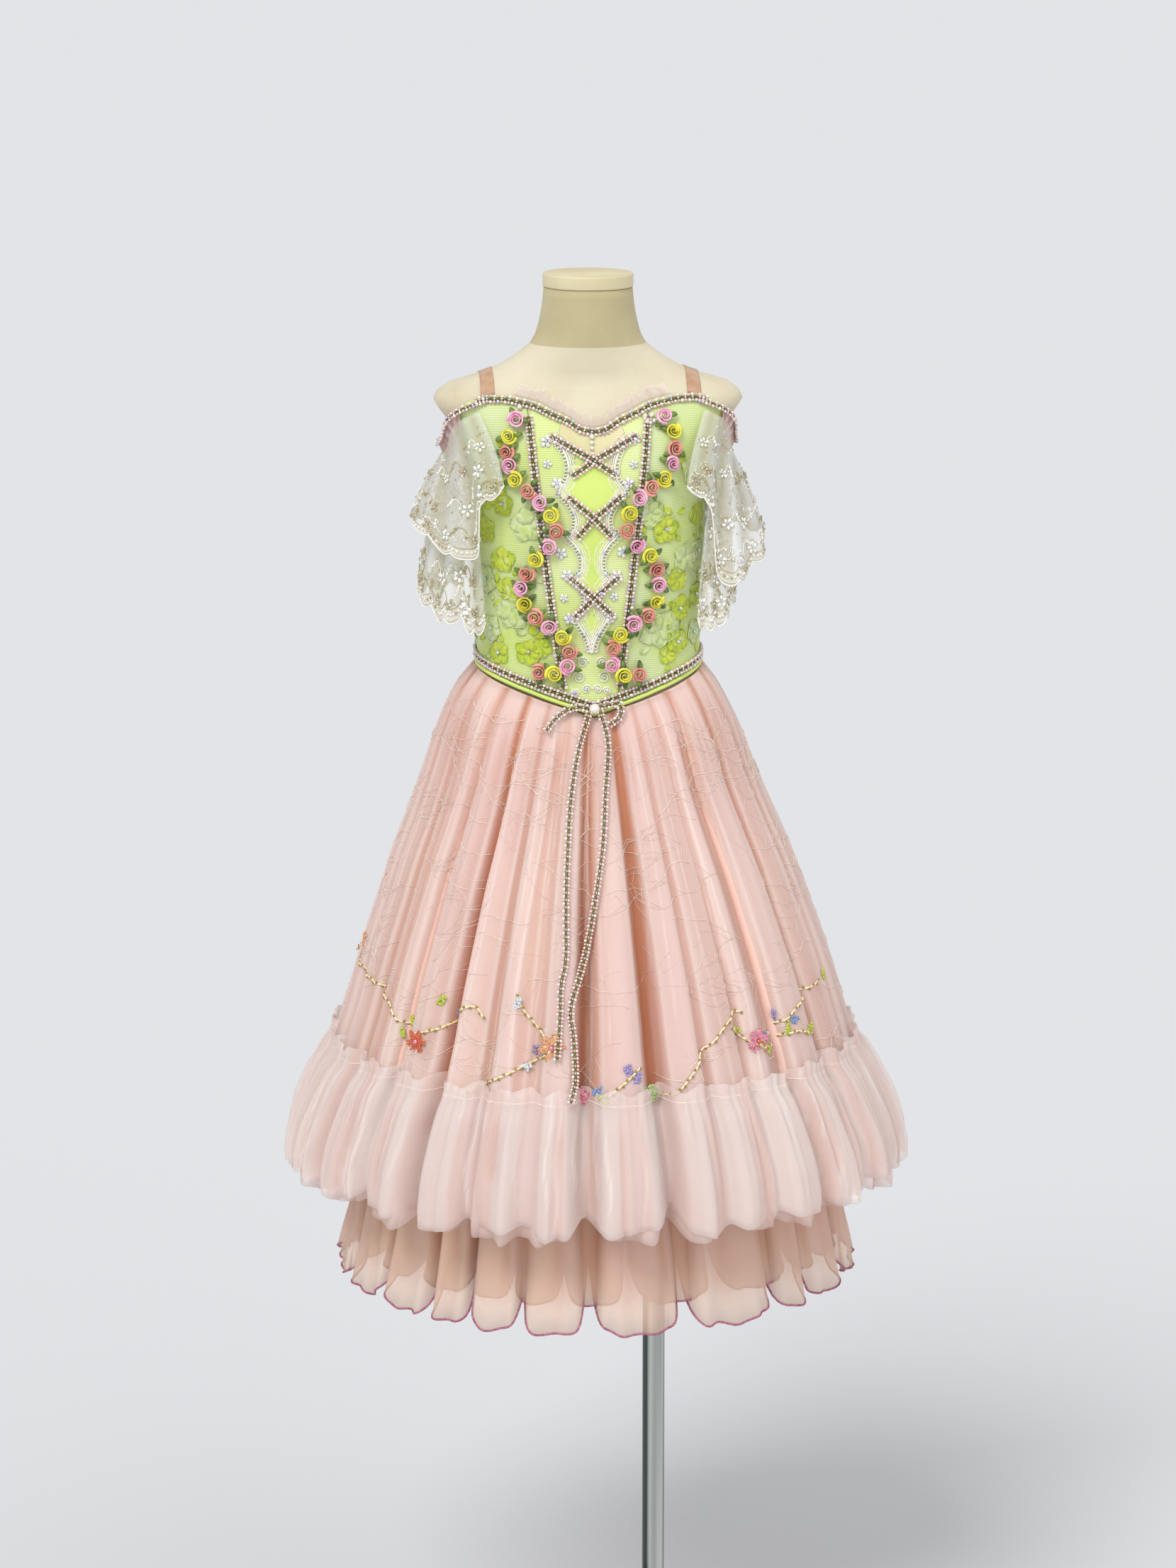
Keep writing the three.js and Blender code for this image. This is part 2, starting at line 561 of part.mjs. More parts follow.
// Two beaded braids hang from the bow over the skirt.
const streamers = {
  left: [
    [-6, -104.6, 1137.4], [-19, -125.8, 1100], [-29, -151.8, 1054], [-34, -177.3, 1006],
    [-38, -206.8, 951], [-40, -232.3, 897], [-46, -244.3, 870], [-48, -258.8, 838], [-52, -275.3, 798],
  ],
  right: [
    [6, -104.8, 1138], [13, -121.8, 1105], [8, -150.8, 1055], [3, -178.3, 1005], [-7, -204.3, 951],
    [-17, -217.3, 903], [-25, -235.8, 880], [-36, -253.8, 847], [-34, -263.8, 820], [-33, -282, 778],
    [-39, -302, 758],
  ],
};
for (const [side, route] of Object.entries(streamers)) {
  add(`streamer_${side}`, tube(route, streamerDiameter, 2 * route.length), 'oliveBraid');
}

// Nude straps over the shoulders, each in an upright plane beside the neck.
const insideForm = (x, y, z) => {
  const n = form(z, 'squareness');
  const depth = form(z, y < 0 ? 'front' : 'back');
  return (Math.abs(x) / form(z, 'halfWidth')) ** n + (Math.abs(y) / depth) ** n < 1;
};
const strapPlane = 111;
const strapLift = 1.2;
const strapEnds = [124.8, -0.5]; // angles about the path's middle, front then back
const strapMiddle = 1405; // height that the strap's path turns round
function overShoulder(x, angle, out) {
  let [near, far] = [0, 140];
  for (const _ of range(30)) {
    const r = (near + far) / 2;
    if (insideForm(x, r * Math.cos(angle), strapMiddle + r * Math.sin(angle))) near = r; else far = r;
  }
  const [y, z] = [near * Math.cos(angle), strapMiddle + near * Math.sin(angle)];
  const normal = formNormal(Math.atan2(x, -y), z);
  return { point: new THREE.Vector3(x, y, z).addScaledVector(normal, out), normal };
}
const flat = [[-0.5, 1], [0.5, 1]];
for (const [side, sign] of [['left', -1], ['right', 1]]) {
  const line = range(15).map((i) =>
    overShoulder(sign * strapPlane, degrees(lerp(...strapEnds, i / 14)), strapLift));
  add(`strap_${side}`, band(line, strapWidth, strapWall, false, flat), 'nudeElastic');
}

// A tulle frill stands on the bodice's upper edge between the straps.
const frillTurn = degrees(58);
const frillColumns = 28;
add('neckline_frill', cloth([[1.6, 3.2, 0], [10.5, 3.6, 2.5]].map(([rise, out, wave]) =>
  range(frillColumns + 1).map((i) => {
    const turn = lerp(-frillTurn, frillTurn, i / frillColumns);
    return onForm(turn, upperAt(turn) + rise, out + (i % 2) * wave);
  })), 1), 'pinkTulle');

// Sleeve bands leave the front corners, hang where the arms would be and return to the back.
const sleeveLoop = table(['turn', 'z', 'out'], [
  [64, 1463, 8.2], [70, 1452, 8.2], [76, 1438, 10], [83, 1422, 14], [91, 1411, 22], [100, 1407, 26],
  [110, 1405, 20], [120, 1405, 11], [128, 1406, 5.4],
]);
const bandRise = 10; // half of the band's height
function loopPoint(sign, turnDegrees, rise, out) {
  const z = sleeveLoop(turnDegrees, 'z') + rise;
  const turn = degrees(turnDegrees);
  const p = onRing(turn, formRadius(turn, z) + sleeveLoop(turnDegrees, 'out') + out, z);
  return p.setX(sign * p.x);
}
// Grids run in the direction of turn, so the left side's columns are reversed.
const facing = (sign, grid) => (sign > 0 ? grid : grid.map((row) => [...row].reverse()));
for (const [side, sign] of [['left', -1], ['right', 1]]) {
  const columns = 18;
  const grid = [[-bandRise, 0.2], [0, 2.2], [bandRise, 0.2]].map(([rise, ruche]) =>
    range(columns + 1).map((i) => loopPoint(sign, lerp(70, 128, i / columns), rise, ruche * (i % 2 ? 1 : 0.4))));
  add(`sleeve_band_${side}`, cloth(facing(sign, grid), 1.6), 'pinkTulle');
}

// Lace tiers hang from the bands. Each row is a place on the band and the hem below it.
const laceColumns = ['share', 'turn', 'x', 'y', 'z'];
const laceTiers = [
  {
    name: 'lace_upper_left', sign: -1, rise: -5, out: 3.4, wave: 7,
    hem: table(laceColumns, [
      [0, 63, 97, -92, 1381], [0.08, 65, 109, -95, 1368], [0.16, 68, 121, -90, 1362],
      [0.24, 71, 124, -86, 1302], [0.34, 75, 148, -84, 1304], [0.45, 81, 172, -64, 1318],
      [0.57, 89, 187, -28, 1334], [0.68, 98, 187, 14, 1331], [0.79, 107, 173, 50, 1325],
      [0.9, 116, 150, 76, 1322], [1, 125, 126, 90, 1330],
    ]),
  },
  {
    name: 'lace_upper_right', sign: 1, rise: -5, out: 3.4, wave: 7,
    hem: table(laceColumns, [
      [0, 63, 100, -88, 1377], [0.08, 65, 112, -93, 1369], [0.16, 68, 124, -90, 1356],
      [0.24, 71, 134, -86, 1276], [0.34, 75, 152, -84, 1270], [0.45, 81, 170, -66, 1284],
      [0.57, 89, 186, -32, 1300], [0.68, 98, 188, 10, 1308], [0.79, 107, 175, 48, 1312],
      [0.9, 116, 151, 75, 1318], [1, 125, 126, 90, 1328],
    ]),
  },
  {
    name: 'lace_lower_left', sign: -1, rise: -bandRise - 1, out: 0.2, wave: 6,
    hem: table(laceColumns, [
      [0, 71, 115, -68, 1222], [0.12, 74, 128, -73, 1216], [0.24, 78, 142, -74, 1233],
      [0.36, 83, 158, -64, 1228], [0.48, 89, 173, -42, 1240], [0.6, 96, 182, -10, 1250],
      [0.72, 103, 180, 25, 1250], [0.86, 112, 162, 56, 1245], [1, 122, 132, 80, 1244],
    ]),
  },
  {
    name: 'lace_lower_right', sign: 1, rise: -bandRise - 1, out: 0.2, wave: 6,
    hem: table(laceColumns, [
      [0, 71, 113, -67, 1224], [0.12, 74, 122, -71, 1219], [0.24, 78, 132, -71, 1222],
      [0.36, 83, 144, -62, 1228], [0.48, 89, 152, -40, 1240], [0.6, 96, 156, -8, 1247],
      [0.72, 103, 155, 25, 1247], [0.86, 112, 145, 54, 1243], [1, 122, 126, 78, 1244],
    ]),
  },
];
const laceSpans = 22;
for (const { name, sign, rise, out, wave, hem } of laceTiers) {
  const grid = [1, 0.55, 0].map((fall) => range(laceSpans + 1).map((i) => {
    const share = i / laceSpans;
    const top = loopPoint(sign, hem(share, 'turn'), rise, out);
    const end = new THREE.Vector3(sign * hem(share, 'x'), hem(share, 'y'), hem(share, 'z'));
    const swing = 1 - (1 - fall) ** 1.6; // the cloth swings out first, then hangs
    const away = new THREE.Vector3(end.x - sign * 105, end.y, 0).normalize();
    return new THREE.Vector3(lerp(top.x, end.x, swing), lerp(top.y, end.y, swing), lerp(top.z, end.z, fall))
      .addScaledVector(away, (i % 2) * wave * fall);
  }));
  add(name, cloth(facing(sign, grid), laceWall), 'whiteLace');
}

export default dressOnForm;
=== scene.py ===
import math
import random

import bpy
import numpy as np
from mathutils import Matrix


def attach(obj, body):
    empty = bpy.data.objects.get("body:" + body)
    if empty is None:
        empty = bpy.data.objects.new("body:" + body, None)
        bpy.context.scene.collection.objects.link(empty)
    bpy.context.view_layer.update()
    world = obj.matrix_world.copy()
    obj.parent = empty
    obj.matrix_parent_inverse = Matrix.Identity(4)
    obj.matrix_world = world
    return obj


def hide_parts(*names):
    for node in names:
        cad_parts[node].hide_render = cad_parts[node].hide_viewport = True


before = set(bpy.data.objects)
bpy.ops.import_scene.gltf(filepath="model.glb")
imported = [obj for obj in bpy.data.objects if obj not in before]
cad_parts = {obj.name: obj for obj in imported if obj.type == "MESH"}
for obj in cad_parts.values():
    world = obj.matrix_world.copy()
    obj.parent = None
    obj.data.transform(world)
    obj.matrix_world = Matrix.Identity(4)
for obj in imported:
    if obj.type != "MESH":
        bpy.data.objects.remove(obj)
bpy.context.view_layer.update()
bpy.ops.object.select_all(action="DESELECT")
print("frame loaded")

# Shapes are worked out in millimetres, as the dress was measured, and meshes are made in metres.
mm = 0.001

# Camera at the photograph's angle, just above the neck cap and looking down a little.
camera = {"place": (-0.3837, -5.4866, 2.22665), "lookDown": 12.215, "lookAside": -4, "lens": 117.417}
bpy.ops.object.camera_add(location=camera["place"], rotation=(
    math.radians(90 - camera["lookDown"]), 0, math.radians(camera["lookAside"])))
bpy.context.object.data.lens = camera["lens"]
bpy.context.scene.camera = bpy.context.object

# Soft studio light over a pale floor that runs to the horizon, so it is the backdrop too.
studio = {
    "floorRadius": 90, "floorColor": (0.68, 0.69, 0.705, 1),
    "worldColor": (0.98, 0.985, 1.0, 1), "worldStrength": 0.58,
    "keyStrength": 1.8, "keyTurn": (42, 0, -32), "keyAngle": 26,
    "fillStrength": 0.7, "fillTurn": (54, 0, 48), "fillAngle": 60,
}
bpy.context.scene.view_settings.view_transform = "Standard"


def clearSelection():
    bpy.ops.object.select_all(action="DESELECT")


def startMaterial(name, **sockets):
    material = bpy.data.materials.new(name)
    material.use_nodes = True
    shader = material.node_tree.nodes["Principled BSDF"]
    for socket, value in sockets.items():
        shader.inputs[socket.replace("_", " ")].default_value = value
    return material, material.node_tree.nodes, material.node_tree.links, shader


def makeStudio():
    bpy.ops.mesh.primitive_circle_add(vertices=64, radius=studio["floorRadius"], fill_type="NGON",
                                      location=(0, 0, 0))
    floor = bpy.context.object
    floor.name = "floor"
    material, *_ = startMaterial(
        "floorPaint", Base_Color=studio["floorColor"], Roughness=0.95, Specular_IOR_Level=0.1)
    floor.data.materials.append(material)
    for name in ("key", "fill"):
        turn = [math.radians(a) for a in studio[name + "Turn"]]
        bpy.ops.object.light_add(type="SUN", location=(0, -3, 4), rotation=turn)
        light = bpy.context.object
        light.name = name + "Light"
        light.data.energy = studio[name + "Strength"]
        light.data.angle = math.radians(studio[name + "Angle"])
    world = bpy.data.worlds.new("paleRoom")
    world.use_nodes = True
    world.node_tree.nodes["Background"].inputs["Color"].default_value = studio["worldColor"]
    world.node_tree.nodes["Background"].inputs["Strength"].default_value = studio["worldStrength"]
    bpy.context.scene.world = world
    clearSelection()


makeStudio()
print("camera, light and floor placed")


# A table with named columns, read smoothly between its rows by the first column.
def smoothTable(columns, rows):
    keys = np.array([row[0] for row in rows], float)
    curves = {}
    for i, column in enumerate(columns):
        values = np.array([row[i] for row in rows], float)
        slope = np.diff(values) / np.diff(keys)
        tangent = np.concatenate([[slope[0]], np.zeros(len(keys) - 2), [slope[-1]]])
        for j in range(1, len(keys) - 1):
            if slope[j - 1] * slope[j] > 0:
                tangent[j] = 2 / (1 / slope[j - 1] + 1 / slope[j])
        curves[column] = (values, tangent)

    def read(key, column):
        values, tangent = curves[column]
        k = np.clip(np.asarray(key, float), keys[0], keys[-1])
        i = np.clip(np.searchsorted(keys, k, side="right") - 1, 0, len(keys) - 2)
        span = keys[i + 1] - keys[i]
        f = (k - keys[i]) / span
        return (values[i] * (1 + 2 * f) * (1 - f) ** 2 + values[i + 1] * f * f * (3 - 2 * f)
                + tangent[i] * span * f * (1 - f) ** 2 - tangent[i + 1] * span * f * f * (1 - f))

    return read


def smoothStep(x, low, high):
    t = np.clip((x - low) / (high - low), 0, 1)
    return t * t * (3 - 2 * t)


def mix(a, b, share):
    return a + (b - a) * share


# The dress form's sections. A turn is an angle round its axis, from the front towards +X.
formShape = smoothTable(["z", "halfWidth", "front", "back", "squareness"], [
    [965, 140, 94, 100, 2.3], [1000, 149, 101, 108, 2.3], [1040, 149, 101, 109, 2.3],
    [1090, 142, 94, 101, 2.3], [1130, 129, 87.5, 88, 2.3], [1176, 118, 86, 79, 2.4],
    [1215, 118.5, 87, 80, 2.4], [1260, 120, 91, 85, 2.4], [1310, 122.5, 94, 90, 2.4],
    [1360, 124.5, 95.5, 94, 2.4], [1400, 130, 92, 95, 2.4], [1430, 144, 84, 92, 2.4],
    [1450, 158, 74, 85, 2.4], [1466, 168, 64, 76, 2.4], [1474, 163, 59, 71, 2.4],
    [1482, 151, 54, 65, 2.3], [1490, 124, 50, 60, 2.2], [1500, 98, 50, 57, 2.1], [1514, 76, 51, 56, 2],
    [1530, 59, 51, 55, 2], [1545, 54, 50, 52, 2], [1565, 50, 49, 49.5, 2], [1584.7, 48, 48, 48, 2],
])


def ringRadius(turn, halfWidth, depth, squareness):
    across = np.abs(np.sin(turn)) / halfWidth
    along = np.abs(np.cos(turn)) / depth
    return (across ** squareness + along ** squareness) ** (-1 / squareness)


def formRadius(turn, z):
    depth = np.where(np.cos(turn) > 0, formShape(z, "front"), formShape(z, "back"))
    return ringRadius(turn, formShape(z, "halfWidth"), depth, formShape(z, "squareness"))


def onRing(turn, radius, z):
    turn, radius, z = np.broadcast_arrays(np.asarray(turn, float), radius, z)
    return np.stack([radius * np.sin(turn), -radius * np.cos(turn), z], -1)


def unit(vectors):
    return vectors / np.maximum(np.linalg.norm(vectors, axis=-1, keepdims=True), 1e-9)


def formNormal(turn, z):
    def point(a, b):
        return onRing(a, formRadius(a, b), b)
    return unit(np.cross(point(turn + 0.02, z) - point(turn - 0.02, z),
                         point(turn, z + 2) - point(turn, z - 2)))


def onForm(turn, z, out):
    turn, z = np.broadcast_arrays(np.asarray(turn, float), np.asarray(z, float))
    return onRing(turn, formRadius(turn, z), z) + formNormal(turn, z) * np.asarray(out, float)[..., None]


# The turn of the front surface where it passes a given x.
def turnAt(x, z):
    n = formShape(z, "squareness")
    share = np.minimum(0.999, np.abs(x) / formShape(z, "halfWidth"))
    return np.arctan2(x, formShape(z, "front") * (1 - share ** n) ** (1 / n))


bodiceCloth = {"gap": 2.2, "wall": 1.5, "seam": 0.2}
clothOut = bodiceCloth["gap"] + bodiceCloth["wall"]
upperEdge = smoothTable(["turn", "z"], [
    [0, 1441], [9, 1443.5], [20, 1452], [33, 1459.5], [44, 1467], [53, 1471], [60, 1473.5], [65, 1473.5],
    [70, 1468], [77, 1449], [84, 1426], [92, 1411], [105, 1403], [130, 1402], [180, 1408],
])
lowerEdge = smoothTable(["turn", "z"], [
    [0, 1135], [15, 1143.5], [30, 1152], [45, 1161.5], [60, 1170.5], [75, 1177], [90, 1180], [180, 1182],
])


def upperAt(turn):
    return upperEdge(np.abs(np.degrees(turn)), "z")


def lowerAt(turn):
    return lowerEdge(np.abs(np.degrees(turn)), "z")


princess = smoothTable(["z", "left", "right"], [[1130, -28, 24], [1300, -51, 42], [1475, -71, 61]])


def onBodice(turn, z, lift=0.0):
    return onForm(turn, z, clothOut + lift)


# A strip or tube of cloth from a grid primitive. place gives each point for u across and v up,
# then how far it lies in a valley, which sets its painted shade, and how near it is to a crease.
def clothGrid(name, columns, rows, place, wall, around=False):
    clearSelection()
    bpy.ops.mesh.primitive_grid_add(x_subdivisions=columns, y_subdivisions=rows, size=1)
    piece = bpy.context.object
    piece.name = name
    piece.data.name = name
    flat = np.zeros(len(piece.data.vertices) * 3)
    piece.data.vertices.foreach_get("co", flat)
    flat = flat.reshape(-1, 3) + 0.5
    points, *marks = place(flat[:, 0], flat[:, 1])
    piece.data.vertices.foreach_set("co", (points * mm).ravel())
    for mark, values in zip(("valley", "crease"), marks):
        attribute = piece.data.attributes.new(mark, "FLOAT", "POINT")
        attribute.data.foreach_set("value", np.clip(values, 0, 1))
    bpy.ops.object.mode_set(mode="EDIT")
    bpy.ops.mesh.select_all(action="SELECT")
    if around:
        bpy.ops.mesh.remove_doubles(threshold=0.00002)
    bpy.ops.object.mode_set(mode="OBJECT")
    clothArea = sum(face.area for face in piece.data.polygons)
    print(f"{name}: {clothArea:.4f} square metres of cloth")
    if wall:
        solidify = piece.modifiers.new("wall", "SOLIDIFY")
        solidify.thickness = wall * mm
        solidify.offset = -1
        bpy.ops.object.modifier_apply(modifier=solidify.name)
    bpy.ops.object.shade_smooth()
    return piece


# Many small shapes joined into one mesh: points in millimetres, faces, and a material number each.
def newHeap():
    return {"points": [], "faces": [], "kinds": [], "count": 0}


def pile(heap, points, faces, kind=0):
    heap["points"].append(points)
    heap["faces"].extend([tuple(heap["count"] + i for i in face) for face in faces])
    heap["kinds"].extend([kind] * len(faces))
    heap["count"] += len(points)


def fitOut(piece, nodes):
    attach(piece, "root")
    if nodes:
        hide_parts(*nodes)
    return piece


def heapPiece(name, heap, materials, slotName, *nodes):
    mesh = bpy.data.meshes.new(name)
    mesh.from_pydata((np.concatenate(heap["points"]) * mm).tolist(), [], heap["faces"])
    mesh.polygons.foreach_set("use_smooth", [True] * len(mesh.polygons))
    mesh.polygons.foreach_set("material_index", heap["kinds"])
    for material in materials:
        mesh.materials.append(material)
    mesh.update()
    piece = bpy.data.objects.new(name, mesh)
    bpy.context.scene.collection.objects.link(piece)
    return fitOut(piece, nodes)


def dress(piece, material, slotName, *nodes):
    piece.data.materials.clear()
    piece.data.materials.append(material)
    fitOut(piece, nodes)
    clearSelection()


# A finished primitive read into points and faces, to be copied many times.
def masterShape(stretch=(1, 1, 1)):
    piece = bpy.context.object
    points = np.array([v.co[:] for v in piece.data.vertices]) * np.array(stretch)
    faces = [tuple(face.vertices) for face in piece.data.polygons]
    bpy.data.objects.remove(piece)
    return points, faces


bpy.ops.mesh.primitive_ico_sphere_add(subdivisions=1, radius=1)
seedShape = masterShape()
bpy.ops.mesh.primitive_uv_sphere_add(segments=8, ring_count=5, radius=1)
pearlShape = masterShape()
bpy.ops.mesh.primitive_uv_sphere_add(segments=6, ring_count=4, radius=1)
beadShape = masterShape()
bpy.ops.mesh.primitive_uv_sphere_add(segments=40, ring_count=22, radius=1)
bigPearlShape = masterShape()


# Copies of a shape, each with a middle, a direction along it and the cloth's normal.
def pileCopies(heap, shape, middles, along, normals, size, kinds):
    points, faces = shape
    along = unit(along)
    side = unit(np.cross(normals, along))
    up = np.cross(along, side)
    size = np.broadcast_to(np.asarray(size, float), (len(middles), 3))
    kinds = np.broadcast_to(kinds, (len(middles),))
    for i, middle in enumerate(middles):
        basis = np.stack([along[i] * size[i, 0], side[i] * size[i, 1], up[i] * size[i, 2]])
        pile(heap, points @ basis + middle, faces, int(kinds[i]))


# One copy of a shape, upright unless it is turned along something else.
def pileOne(heap, shape, middle, normal, size, kind, along=(0, 0, 1.0)):
    pileCopies(heap, shape, [middle], np.array([along]), np.array([normal]), size, kind)


# A line sampled evenly: points, directions, normals and the distance along it.
def evenLine(points, normals, step):
    points, normals = np.asarray(points, float), np.asarray(normals, float)
    gone = np.concatenate([[0], np.cumsum(np.linalg.norm(np.diff(points, axis=0), axis=1))])
    count = max(2, round(gone[-1] / step) + 1)
    at = np.linspace(0, gone[-1], count)
    even = np.stack([np.interp(at, gone, points[:, k]) for k in range(3)], -1)
    facing = unit(np.stack([np.interp(at, gone, normals[:, k]) for k in range(3)], -1))
    return even, unit(np.gradient(even, axis=0)), facing, at


def smoothLine(points, steps):
    points = np.asarray(points, float)
    padded = np.vstack([2 * points[0] - points[1], points, 2 * points[-1] - points[-2]])
    made = []
    for i in range(1, len(padded) - 2):
        a, b, c, d = padded[i - 1:i + 3]
        for t in np.linspace(0, 1, steps, endpoint=False):
            made.append(0.5 * (2 * b + (c - a) * t + (2 * a - 5 * b + 4 * c - d) * t * t
                               + (3 * b - a - 3 * c + d) * t ** 3))
    return np.array(made + [points[-1]])


# A round thread along a line, closed at both ends, or joined to itself.
def pileThread(heap, points, normals, radius, sides=4, kind=0, loop=False):
    points = np.asarray(points, float)
    if loop:
        along = unit(np.roll(points, -1, 0) - np.roll(points, 1, 0))
    else:
        along = unit(np.gradient(points, axis=0))
    side = unit(np.cross(np.asarray(normals, float), along))
    up = np.cross(along, side)
    angles = 2 * np.pi * np.arange(sides) / sides
    rings = (points[:, None] + radius * (np.cos(angles)[None, :, None] * side[:, None]
             + np.sin(angles)[None, :, None] * up[:, None]))
    count = len(points)
    faces = []
    for i in range(count if loop else count - 1):
        a, b = i * sides, ((i + 1) % count) * sides
        faces += [(a + k, a + (k + 1) % sides, b + (k + 1) % sides, b + k) for k in range(sides)]
    if not loop:
        faces += [tuple(reversed(range(sides))), tuple((count - 1) * sides + k for k in range(sides))]
    pile(heap, rings.reshape(-1, 3), faces, kind)


# Two olive cords that cross between seed beads sewn down both edges.
beadedBraid = {
    "strand": 0.75, "spread": 1.2, "rise": 0.55, "pitch": 8.0, "step": 1.2,
    "beadStep": 4.0, "beadOut": 3.2, "bead": (2.1, 1.8, 1.7), "lean": 0.7, "beadRise": 1.7,
    "pearlEvery": 6, "pearl": 2.4, "crystal": 2.2, "heart": (1.4, 1.0, 1.0),
}
cordKind, pinkKind, whiteKind, pearlKind, crystalKind = range(5)


def pileBraid(heap, points, normals, seed, rich=True, out=None):
    style = beadedBraid
    draw = random.Random(seed)
    out = style["beadOut"] if out is None else out
    narrow = out / style["beadOut"]
    middle, along, facing, at = evenLine(points, normals, style["step"])
    side = unit(np.cross(facing, along))
    for strand in (0, np.pi):
        angle = 2 * np.pi * at / style["pitch"] + strand
        line = (middle + side * (narrow * style["spread"] * np.cos(angle))[:, None]
                + facing * (style["rise"] * (np.sin(angle) + 1.6))[:, None])
        pileThread(heap, line, facing, narrow * style["strand"], 5, cordKind)
    middle, along, facing, at = evenLine(points, normals, style["beadStep"])
    side = unit(np.cross(facing, along))
    for hand in (-1, 1):
        size, kinds = [], []
        for i in range(len(at)):
            special = rich and (i + (3 if hand > 0 else 0)) % style["pearlEvery"] == 0
            if special and draw.random() < 0.55:
                size.append(np.array([style["pearl"]] * 3) * narrow)
                kinds.append(pearlKind)
            elif special:
                size.append(np.array([style["crystal"]] * 3) * narrow)
                kinds.append(crystalKind)
            else:
                size.append(np.array(style["bead"]) * narrow * draw.uniform(0.88, 1.1))
                kinds.append(pinkKind if (i + (hand > 0)) % 2 else whiteKind)
        jitter = np.array([draw.uniform(-0.25, 0.25) for _ in at])
        lean = along + side * hand * style["lean"]
        spots = middle + side * hand * (out + jitter)[:, None] + facing * narrow * style["beadRise"]
        pileCopies(heap, beadShape, spots, lean, facing, size, kinds)
    pileCopies(heap, beadShape, middle[1::2] + facing[1::2] * 2.0, along[1::2] + side[1::2] * style["lean"],
               facing[1::2], np.array(style["heart"]) * narrow, whiteKind)


# Materials
def coordinatesOf(nodes, links, source="Object", stretch=(1, 1, 1)):
    place = nodes.new("ShaderNodeTexCoord")
    mapping = nodes.new("ShaderNodeMapping")
    mapping.inputs["Scale"].default_value = stretch
    links.new(place.outputs[source], mapping.inputs["Vector"])
    return mapping.outputs["Vector"]


def noiseOf(nodes, links, vector, scale, detail=3):
    noise = nodes.new("ShaderNodeTexNoise")
    noise.inputs["Scale"].default_value = scale
    noise.inputs["Detail"].default_value = detail
    links.new(vector, noise.inputs["Vector"])
    return noise.outputs["Fac"]


# Even ribs along one axis of the piece, so many to the metre.
def ribsOf(nodes, links, vector, axis, perMetre):
    parts = nodes.new("ShaderNodeSeparateXYZ")
    times = nodes.new("ShaderNodeMath")
    wave = nodes.new("ShaderNodeMath")
    times.operation, wave.operation = "MULTIPLY", "SINE"
    times.inputs[1].default_value = 2 * math.pi * perMetre
    links.new(vector, parts.inputs["Vector"])
    links.new(parts.outputs[axis], times.inputs[0])
    links.new(times.outputs[0], wave.inputs[0])
    return wave.outputs[0]


def rampOf(nodes, links, factor, stops):
    ramp = nodes.new("ShaderNodeValToRGB")
    ramp.color_ramp.elements[0].position, ramp.color_ramp.elements[0].color = stops[0]
    ramp.color_ramp.elements[1].position, ramp.color_ramp.elements[1].color = stops[-1]
    for position, color in stops[1:-1]:
        ramp.color_ramp.elements.new(position).color = color
    links.new(factor, ramp.inputs["Fac"])
    return ramp.outputs["Color"]


# A tint that drifts between two shades in soft clouds.
def driftOf(nodes, links, vector, scale, dark, light, low=0.3, high=0.7, detail=3):
    cloud = noiseOf(nodes, links, vector, scale, detail)
    return rampOf(nodes, links, cloud, [(low, paint(dark)), (high, paint(light))])


def blendOf(nodes, links, factor, first, second, how="MIX"):
    blend = nodes.new("ShaderNodeMix")
    blend.data_type = "RGBA"
    blend.blend_type = how
    if isinstance(factor, float):
        blend.inputs[0].default_value = factor
    else:
        links.new(factor, blend.inputs[0])
    for socket, value in ((6, first), (7, second)):
        if isinstance(value, tuple):
            blend.inputs[socket].default_value = value
        else:
            links.new(value, blend.inputs[socket])
    return blend.outputs[2]


def addBump(nodes, links, shader, height, strength, distance):
    bump = nodes.new("ShaderNodeBump")
    bump.inputs["Strength"].default_value = strength
    bump.inputs["Distance"].default_value = distance
    links.new(height, bump.inputs["Height"])
    if shader.inputs["Normal"].links:
        links.new(shader.inputs["Normal"].links[0].from_socket, bump.inputs["Normal"])
    links.new(bump.outputs["Normal"], shader.inputs["Normal"])


# A colour typed as on a paint chart, from its sRGB hex value.
def paint(code, alpha=1.0):
    parts = [int(code[i:i + 2], 16) / 255 for i in (0, 2, 4)]
    return tuple((c / 12.92 if c <= 0.04045 else ((c + 0.055) / 1.055) ** 2.4) for c in parts) + (alpha,)


# Cloth whose tint drifts between two near shades, with a fine tooth.
def mottledCloth(name, light, dark, roughness=0.8, scale=30, tooth=900, toothDepth=0.0004, sheen=0.0):
    material, nodes, links, shader = startMaterial(name, Roughness=roughness, Sheen_Weight=sheen)
    vector = coordinatesOf(nodes, links)
    color = driftOf(nodes, links, vector, scale, dark, light, 0.35, 0.65)
    links.new(color, shader.inputs["Base Color"])
    addBump(nodes, links, shader, noiseOf(nodes, links, vector, tooth, 2), 0.5, toothDepth)
    return material
